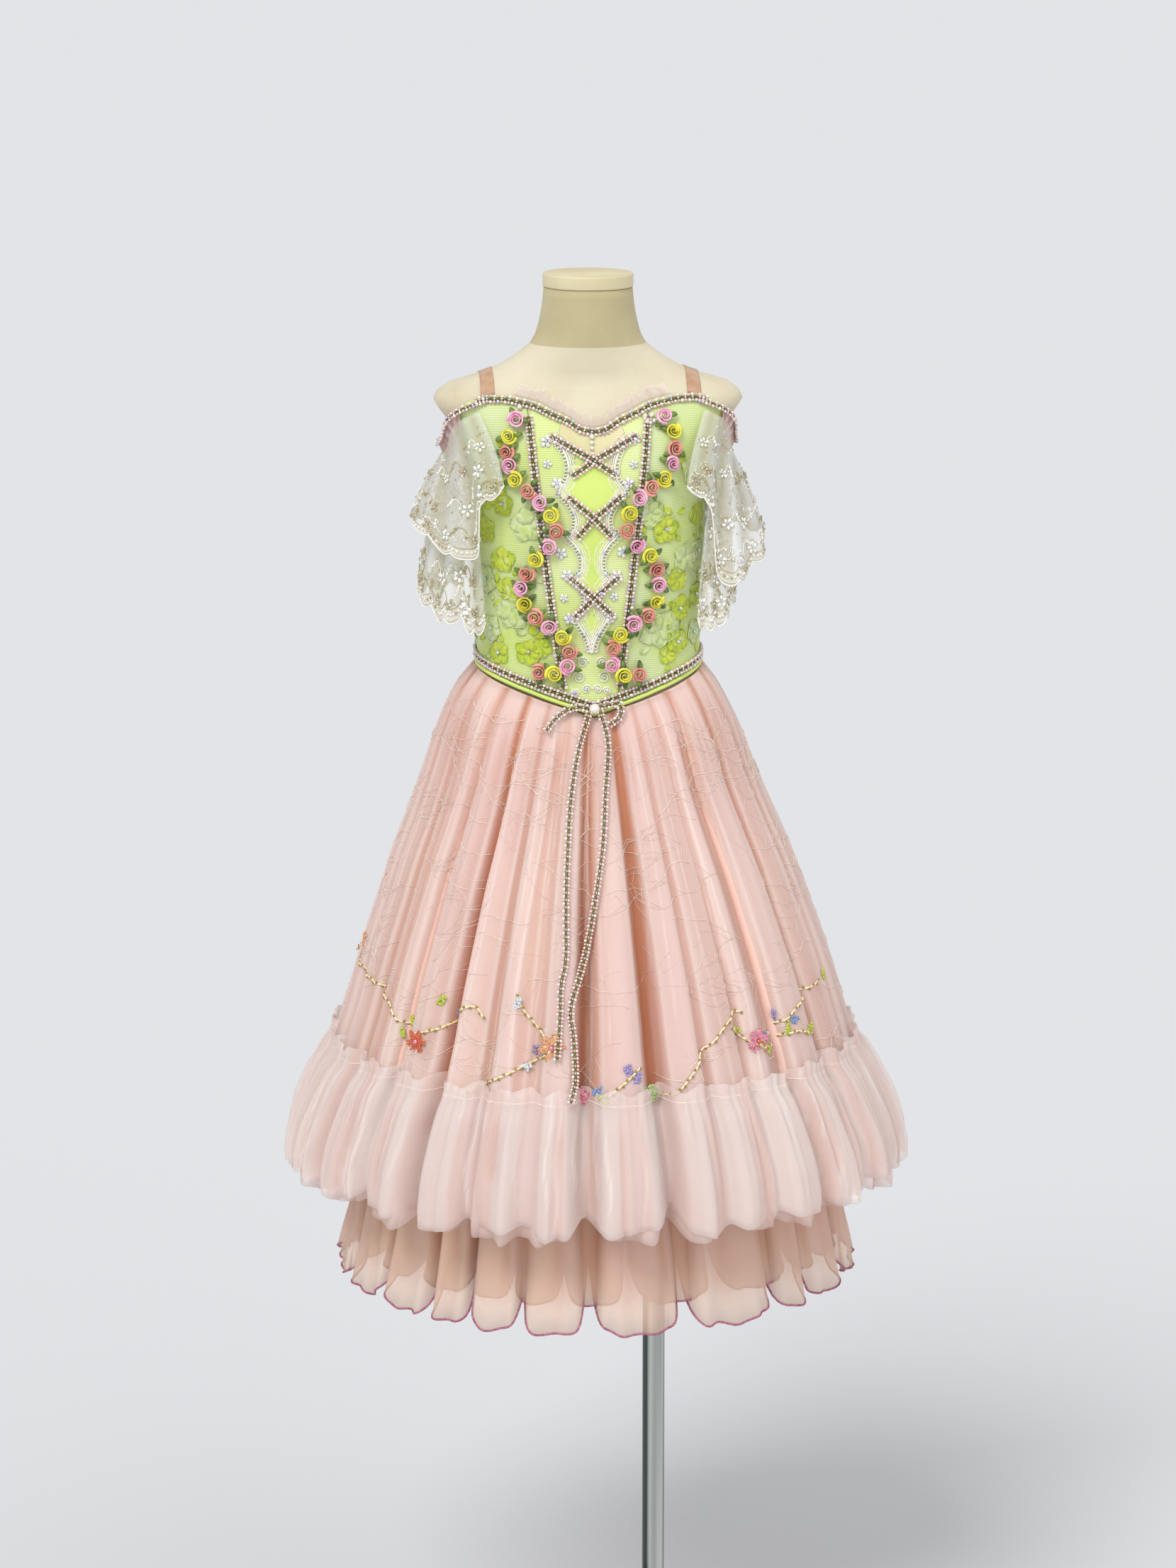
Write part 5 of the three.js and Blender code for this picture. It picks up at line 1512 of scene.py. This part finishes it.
elastic = elasticWeb()
for side, hand in (("left", -1), ("right", 1)):
    strapPiece = clothGrid(f"strap_{side}_elastic", 8, 90, lambda u, v: strapPoint(hand, u, v), strap["wall"])
    dress(strapPiece, elastic, "nude_elastic", f"strap_{side}")

# Tulle frill standing on the neckline.
frill = {"reach": 58, "columns": 320, "rows": 6, "waves": 64}


def frillPoint(u, v, seed=0.0):
    turn = np.radians((2 * u - 1) * frill["reach"])
    phase = frill["waves"] * turn + 1.6 * np.sin(9 * turn + seed) + seed
    wave = 0.5 + 0.5 * np.sin(phase)
    height = 1.4 + v * (9.5 + 2.4 * np.sin(23 * turn + seed) + 1.6 * np.sin(phase * 0.5))
    # Besides the point: painted shade in the troughs of the waves, and a band along the top edge.
    return (onForm(turn, upperAt(turn) + height, 2.6 + v * (0.8 + 3.4 * wave)), 1 - wave,
            0.4 * smoothStep(v, 0.9, 1))


pinkTulle = foldedNet("pinkTulle", "fff6f1", "f3dcd3", 0.10, 0.20, edge="fff8f5", creaseCover=0.12)
frillPiece = clothGrid("neckline_tulle_frill", frill["columns"], frill["rows"], frillPoint, 0.35)
dress(frillPiece, pinkTulle, "pink_tulle", "neckline_frill")
frillBack = clothGrid("neckline_tulle_inner", frill["columns"], 6, lambda u, v: frillPoint(u, 0.8 * v, 2.0),
                      0.35)
dress(frillBack, pinkTulle, "pink_tulle")
print("straps and frill placed")

# Sleeve bands of ruched tulle hang where the arms would be; the lace is sewn to them.
sleeveLoop = smoothTable(["turn", "z", "out"], [
    [64, 1463, 8.2], [70, 1452, 8.2], [76, 1438, 10], [83, 1422, 14], [91, 1411, 22], [100, 1407, 26],
    [110, 1405, 20], [120, 1405, 11], [128, 1406, 5.4],
])
band = {"rise": 10, "start": 70, "end": 128, "columns": 190, "rows": 8}


def loopPoint(hand, degrees, rise, out):
    z = sleeveLoop(degrees, "z") + rise
    turn = np.radians(degrees)
    point = onRing(turn, formRadius(turn, z) + sleeveLoop(degrees, "out") + out, z)
    return point * (hand, 1, 1)


def bandPoint(hand, u, v):
    share = u if hand > 0 else 1 - u
    degrees = mix(band["start"], band["end"], share)
    ruche = 0.5 + 0.5 * np.sin(115 * share + 2 * np.sin(17 * share) + 1.5 * np.sin(3 * v + 9 * share))
    ends = np.sin(np.pi * v)
    edge = 1.3 * np.sin(61 * share) * (2 * v - 1)
    point = loopPoint(hand, degrees, (2 * v - 1) * band["rise"] + edge, 0.2 + ends * (0.8 + 1.8 * ruche))
    # Besides the point: painted shade in the troughs of the ruching, and the band's two edges.
    return point, 1 - ruche, 0.6 * (1 - smoothStep(ends, 0.0, 0.2))


mauveTulle = foldedNet("mauveTulle", "eccfca", "cba29c", 0.66, 0.86, edge="f6e6e3", creaseCover=0.2)
for side, hand in (("left", -1), ("right", 1)):
    bandPiece = clothGrid(f"sleeve_band_{side}_tulle", band["columns"], band["rows"],
                          lambda u, v: bandPoint(hand, u, v), 0.7)
    dress(bandPiece, mauveTulle, "pink_tulle", f"sleeve_band_{side}")
    heap = newHeap()
    degrees = np.linspace(58, 124, 60)
    edge = loopPoint(hand, degrees, 6 + 0 * degrees, 2.0)
    outward = unit(np.stack([edge[:, 0], edge[:, 1], 0 * edge[:, 0]], -1) + (0, 0, 30.0))
    pileBraid(heap, edge[5:], outward[5:], 100 + hand, True, 2.9)
    heapPiece(f"sleeve_braid_{side}", heap, braidMaterials, "olive_braid")
print("sleeve bands gathered")

# Lace tiers: embroidered net that falls from the band to a scalloped hem.
laceColumns = ["share", "turn", "x", "y", "z"]
laceTiers = {
    "lace_upper_left": {"hand": -1, "rise": -5, "out": 3.4, "wave": 6, "flat": (0.30, 0.095),
                        "hem": smoothTable(laceColumns, [
        [0, 63, 97, -92, 1381], [0.08, 65, 109, -95, 1368], [0.16, 68, 121, -90, 1362],
        [0.24, 71, 124, -86, 1302], [0.34, 75, 148, -84, 1304], [0.45, 81, 172, -64, 1318],
        [0.57, 89, 187, -28, 1334], [0.68, 98, 187, 14, 1331], [0.79, 107, 173, 50, 1325],
        [0.9, 116, 150, 76, 1322], [1, 125, 126, 90, 1330],
    ])},
    "lace_upper_right": {"hand": 1, "rise": -5, "out": 3.4, "wave": 6, "flat": (0.30, 0.105),
                         "hem": smoothTable(laceColumns, [
        [0, 63, 100, -88, 1377], [0.08, 65, 112, -93, 1369], [0.16, 68, 124, -90, 1356],
        [0.24, 71, 134, -86, 1276], [0.34, 75, 152, -84, 1270], [0.45, 81, 170, -66, 1284],
        [0.57, 89, 186, -32, 1300], [0.68, 98, 188, 10, 1308], [0.79, 107, 175, 48, 1312],
        [0.9, 116, 151, 75, 1318], [1, 125, 126, 90, 1328],
    ])},
    "lace_lower_left": {"hand": -1, "rise": -11, "out": 0.2, "wave": 5, "flat": (0.24, 0.15),
                        "hem": smoothTable(laceColumns, [
        [0, 71, 115, -68, 1222], [0.12, 74, 128, -73, 1216], [0.24, 78, 142, -74, 1233],
        [0.36, 83, 158, -64, 1228], [0.48, 89, 173, -42, 1240], [0.6, 96, 182, -10, 1250],
        [0.72, 103, 180, 25, 1250], [0.86, 112, 162, 56, 1245], [1, 122, 132, 80, 1244],
    ])},
    "lace_lower_right": {"hand": 1, "rise": -11, "out": 0.2, "wave": 5, "flat": (0.22, 0.15),
                         "hem": smoothTable(laceColumns, [
        [0, 71, 113, -67, 1224], [0.12, 74, 122, -71, 1219], [0.24, 78, 132, -71, 1222],
        [0.36, 83, 144, -62, 1228], [0.48, 89, 152, -40, 1240], [0.6, 96, 156, -8, 1247],
        [0.72, 103, 155, 25, 1247], [0.86, 112, 145, 54, 1243], [1, 122, 126, 78, 1244],
    ])},
}
scallop = {"count": 8.5, "cut": 0.045}


def laceAt(tier, share, fall, lift=0.0):
    share, fall = np.broadcast_arrays(np.asarray(share, float), np.asarray(fall, float))
    hand, hem = tier["hand"], tier["hem"]
    top = loopPoint(hand, hem(share, "turn"), tier["rise"], tier["out"])
    end = np.stack([hand * hem(share, "x"), hem(share, "y"), hem(share, "z")], -1)
    swing = (1 - (1 - np.clip(fall, 0, 1)) ** 1.6)[..., None]
    away = unit(np.stack([end[..., 0] - hand * 105, end[..., 1], 0 * fall], -1))
    ripple = 0.5 + 0.5 * np.sin(2 * np.pi * 6.5 * share + 1.2 * np.sin(2 * np.pi * share + fall))
    place = np.concatenate([mix(top, end, swing)[..., :2], mix(top, end, fall[..., None])[..., 2:]], -1)
    # The second value is painted shade in the troughs of the ripples.
    return place + away * (ripple * tier["wave"] * fall + lift)[..., None], 1 - ripple


def scallopEnd(share):
    return 1 - scallop["cut"] * (1 - np.abs(np.sin(np.pi * scallop["count"] * share))) ** 1.5


def lacePoint(tier, u, v):
    share = u if tier["hand"] > 0 else 1 - u
    fall = (1 - v) * scallopEnd(share)
    point, valley = laceAt(tier, share, fall)
    return point, valley, 0.9 * smoothStep(fall, 0.86, 0.99)


laceThread = mottledCloth("laceThread", "fffefa", "f0ece0", 0.55, 260, 2400, 0.0003)
# The khaki thread stands in for the shadows among the white embroidery: painted shade.
khakiShadeThread = mottledCloth("khakiShadeThread", "c9be98", "ad9f74", 0.6, 260, 2400, 0.0003)
laceMaterials = [laceThread, khakiShadeThread, crystal, pearlGlass]
# The lace net darkens to painted shade in the troughs of its ripples, and is less open along its scalloped
# edge.
laceCloth = foldedNet("laceNet", "f4f3ec", "d5cfb8", 0.24, 0.42, edge="ece6d2", creaseCover=0.4)


def pileLaceFlower(heap, tier, share, fall, size, spin, kind):
    centre, _ = laceAt(tier, share, fall, 0.8)
    right, _ = laceAt(tier, share + 0.01, fall, 0.8)
    below, _ = laceAt(tier, share, fall + 0.01, 0.8)
    across, down = unit(right - centre), unit(below - centre)
    normal = unit(np.cross(down, across)) * tier["hand"]
    for petal in range(5):
        angle = spin + petal * 2 * math.pi / 5
        out = unit(across * math.cos(angle) + down * math.sin(angle))
        pileOne(heap, beadShape, centre + out * size * 0.62, normal, (size * 0.44, size * 0.25, 0.8), kind,
                out)
        for k in (-1, 1):
            veer = unit(out + np.cross(normal, out) * 0.16 * k)
            pileOne(heap, seedShape, centre + veer * size * 1.08, normal, (size * 0.13, size * 0.13, 0.7),
                    1 - kind, veer)
    pileOne(heap, seedShape, centre + normal, normal, (1.5, 1.5, 1.1), 2, across)


def embroiderLace(name, tier, seed):
    draw = random.Random(seed)
    heap = newHeap()
    shares = np.linspace(0, 1, 260)
    away = laceAt(tier, shares, scallopEnd(shares), 3.0)[0] - laceAt(tier, shares, scallopEnd(shares))[0]

    def seam(fall, lift, radius, kind, sides=5):
        points, _ = laceAt(tier, shares, fall, lift)
        pileThread(heap, points, unit(away), radius, sides, kind)

    seam(scallopEnd(shares), 0.2, 0.85, 0)
    seam(scallopEnd(shares) - 0.022, 0.5, 0.4, 0)
    seam(scallopEnd(shares) - 0.085, 0.5, 0.35, 1, 4)
    for share in np.arange(0.012, 0.99, 0.0165): # satin dots above the scalloped edge
        fall = float(scallopEnd(share)) - 0.053
        centre, _ = laceAt(tier, share, fall, 0.9)
        normal = unit(laceAt(tier, share, fall, 3.0)[0] - centre)
        pileOne(heap, seedShape, centre, normal, (1.9, 1.5, 0.9), 0 if draw.random() < 0.75 else 1)
    rows = [0.30, 0.52, 0.74, 0.88] if "lower" in name else [0.34, 0.62, 0.84]
    for row, fall in enumerate(rows):
        count = 6 if row < len(rows) - 1 else 9
        for i in range(count):
            share = (i + 0.5 + 0.3 * (row % 2) + draw.uniform(-0.15, 0.15)) / (count + 0.3)
            size = draw.uniform(6.2, 8.0) if row else draw.uniform(4.8, 6.2)
            kind = 0 if draw.random() < 0.68 else 1
            pileLaceFlower(heap, tier, share, fall + draw.uniform(-0.02, 0.02), size, draw.uniform(0, 1.2),
                           kind)
            turn, route = draw.choice((-1, 1)), []
            for t in np.linspace(0, 1, 22): # a tendril with a loop leads on to the next flower
                angle = 2.4 * math.pi * t
                route.append((share + 0.03 + 0.055 * t + 0.016 * math.sin(angle) * turn,
                              fall - 0.035 - 0.05 * t + 0.035 * math.cos(angle)))
            route = np.clip(np.array(route), 0.005, 0.985)
            points, _ = laceAt(tier, route[:, 0], route[:, 1], 0.7)
            normals = unit(laceAt(tier, route[:, 0], route[:, 1], 3.7)[0] - points)
            pileThread(heap, points, normals, 0.5, 4, kind)
            for share2, fall2 in route[3::6]:
                centre, _ = laceAt(tier, share2 + 0.008, fall2 + 0.012, 0.8)
                pileOne(heap, seedShape, centre, unit(laceAt(tier, share2, fall2, 3.7)[0] - centre),
                        (2.6, 1.2, 0.7), kind, (draw.uniform(-1, 1), 0, 1.0))
    for _ in range(110): # small crystals and seeds strewn between the flowers
        share, fall = draw.uniform(0.02, 0.98), draw.uniform(0.1, 0.93)
        centre, _ = laceAt(tier, share, fall, 0.8)
        normal = unit(laceAt(tier, share, fall, 3.8)[0] - centre)
        lean = (draw.uniform(-1, 1), 0, 1.0)
        pileOne(heap, seedShape, centre, normal, (1.3, 0.9, 0.7), draw.choice((0, 0, 1, 1, 3)), lean)
    heapPiece(f"{name}_embroidery", heap, laceMaterials, "white_lace")


for number, (name, tier) in enumerate(laceTiers.items()):
    netPiece = clothGrid(f"{name}_net", 140, 28, lambda u, v: lacePoint(tier, u, v), 0.4)
    dress(netPiece, laceCloth, "white_lace", name)
    embroiderLace(name, tier, 110 + number)
print("lace tiers hung")

# Organza flowers and leaves laid on the side and back panels, with a stone in some hearts.
organzaMotif = {"columns": 5, "rows": 4, "edge": 0.36, "lift": 0.45, "cloth": 0.25, "hem": 13}
frontFlowers = [ # x, z, petal length, shade and whether a stone lies in its heart
    (76, 1333, 13, "lime", 1), (-95, 1361, 11, "lime", 1), (-68, 1200, 12, "lime", 1),
    (90, 1207, 11, "lime", 1), (-70, 1340, 16, "pale", 0), (-86, 1243, 16, "pale", 0),
    (70, 1222, 17, "pale", 0), (98, 1300, 15, "pale", 0), (-94, 1299, 12, "lime", 0),
    (-105, 1222, 13, "pale", 1), (88, 1276, 11, "lime", 0), (110, 1256, 11, "lime", 1),
    (-104, 1402, 14, "pale", 0), (106, 1392, 14, "pale", 0), (-110, 1330, 12, "lime", 0),
    (60, 1352, 12, "pale", 0), (110, 1345, 11, "lime", 0), (-54, 1206, 9, "lime", 0),
    (108, 1214, 12, "pale", 1), (-98, 1196, 11, "lime", 1), (-88, 1268, 12, "lime", 0),
    (-58, 1226, 10, "lime", 1), (92, 1244, 12, "lime", 1), (-100, 1380, 12, "lime", 0),
    (-110, 1276, 13, "pale", 1), (80, 1196, 10, "lime", 0), (-62, 1290, 11, "pale", 0),
    (112, 1304, 11, "pale", 1),
]
# Material numbers; a flower's edge takes the material that many places on.
limeKind, paleKind, edgeStep, stoneKind = 0, 1, 2, 4


def gridSlab(heap, outer, inner, columns, rows, kind):
    count = columns * rows
    faces = [(r * columns + c, r * columns + c + 1, (r + 1) * columns + c + 1, (r + 1) * columns + c)
             for r in range(rows - 1) for c in range(columns - 1)]
    rim = (list(range(columns)) + [r * columns + columns - 1 for r in range(1, rows)]
           + [(rows - 1) * columns + c for c in range(columns - 2, -1, -1)]
           + [r * columns for r in range(rows - 2, 0, -1)])
    sides = [(a, a + count, b + count, b) for a, b in zip(rim, rim[1:] + rim[:1])]
    back = [tuple(i + count for i in reversed(face)) for face in faces]
    pile(heap, np.concatenate([outer, inner]), faces + back + sides, kind)
    return rim


def pilePetal(heap, turn, z, angle, length, width, kind, draw, curl=1.2):
    style = organzaMotif
    u, v = np.meshgrid(np.linspace(-1, 1, style["columns"]), np.linspace(0, 1, style["rows"]))
    u, v = u.ravel(), v.ravel()
    shape = np.sin(np.pi * np.clip(v * 0.84 + 0.09, 0, 1)) ** 0.7
    a, b = u * shape * width, length * v * (1 - 0.1 * u * u)
    flutter = 0.3 * np.sin(5 * v + draw.uniform(0, 6)) * np.abs(u)
    lift = style["lift"] + curl * (u * u * v + 0.6 * v ** 3) + flutter
    across = a * math.cos(angle) + b * math.sin(angle)
    upward = b * math.cos(angle) - a * math.sin(angle)
    turns = turn + across / (formRadius(turn, z) + clothOut)
    levels = np.clip(z + upward, lowerAt(turns) + style["hem"], upperAt(turns) - style["hem"])
    outer, inner = onBodice(turns, levels, lift), onBodice(turns, levels, lift - style["cloth"])
    rim = gridSlab(heap, outer, inner, style["columns"], style["rows"], kind)
    edge = outer[rim[style["columns"]:-3]]
    pileThread(heap, edge, np.broadcast_to(formNormal(turn, z), edge.shape), style["edge"], 3,
               kind + edgeStep)


def sheerOrganza(name, light, dark, alpha):
    material = mottledCloth(name, light, dark, 0.5, 60, 900, 0.0003, 0.25)
    material.node_tree.nodes["Principled BSDF"].inputs["Alpha"].default_value = alpha
    return material


motifMaterials = [
    sheerOrganza("limeLeafOrganza", "dde94c", "c3d93a", 0.82),
    sheerOrganza("paleLeafOrganza", "e6f2bb", "cfe38a", 0.82),
    mottledCloth("limeMotifEdge", "e3ec8a", "cbdc62", 0.6),
    mottledCloth("paleMotifEdge", "f6f9dc", "e2edb4", 0.6), crystal,
]


def layFlowers(name, places, seed):
    draw = random.Random(seed)
    heap = newHeap()
    for turn, z, length, shade, stone in places:
        kind = limeKind if shade == "lime" else paleKind
        spin = draw.uniform(0, 1.2)
        for petal in range(5):
            size = length * draw.uniform(1.12, 1.4)
            pilePetal(heap, turn, z, spin + petal * 2 * math.pi / 5, size, size * draw.uniform(0.5, 0.62),
                      kind, draw)
        for _ in range(draw.randint(1, 3)):
            angle = draw.uniform(0, 2 * math.pi)
            away = length * draw.uniform(1.15, 1.6)
            leafTurn = turn + away * math.sin(angle) / float(formRadius(turn, z))
            pilePetal(heap, leafTurn, z + away * math.cos(angle), angle + draw.uniform(-0.9, 0.9),
                      draw.uniform(8, 13), draw.uniform(2.8, 4.2),
                      draw.choice((limeKind, limeKind, paleKind)), draw)
        if stone:
            pileOne(heap, pearlShape, onBodice(turn, z, 1.9), formNormal(turn, z), 2.1, stoneKind)
    heapPiece(name, heap, motifMaterials, "green_organza")


layFlowers("organza_flowers_front",
           [(float(turnAt(x, z)), z, length, shade, stone) for x, z, length, shade, stone in frontFlowers],
           121)
draw = random.Random(122)
backFlowers = [ # rows of flowers round the back, in turn from side to side
    (math.radians(hand * (98 + 16.5 * i + draw.uniform(-4, 4))), z + draw.uniform(-11, 11) + 14 * (i % 2),
     draw.uniform(11, 16), draw.choice(("lime", "pale", "pale")), draw.random() < 0.4)
    for hand in (-1, 1) for i in range(5) for z in (1212, 1258, 1304, 1350)
]
layFlowers("organza_flowers_back", backFlowers, 123)
print("organza flowers laid on")
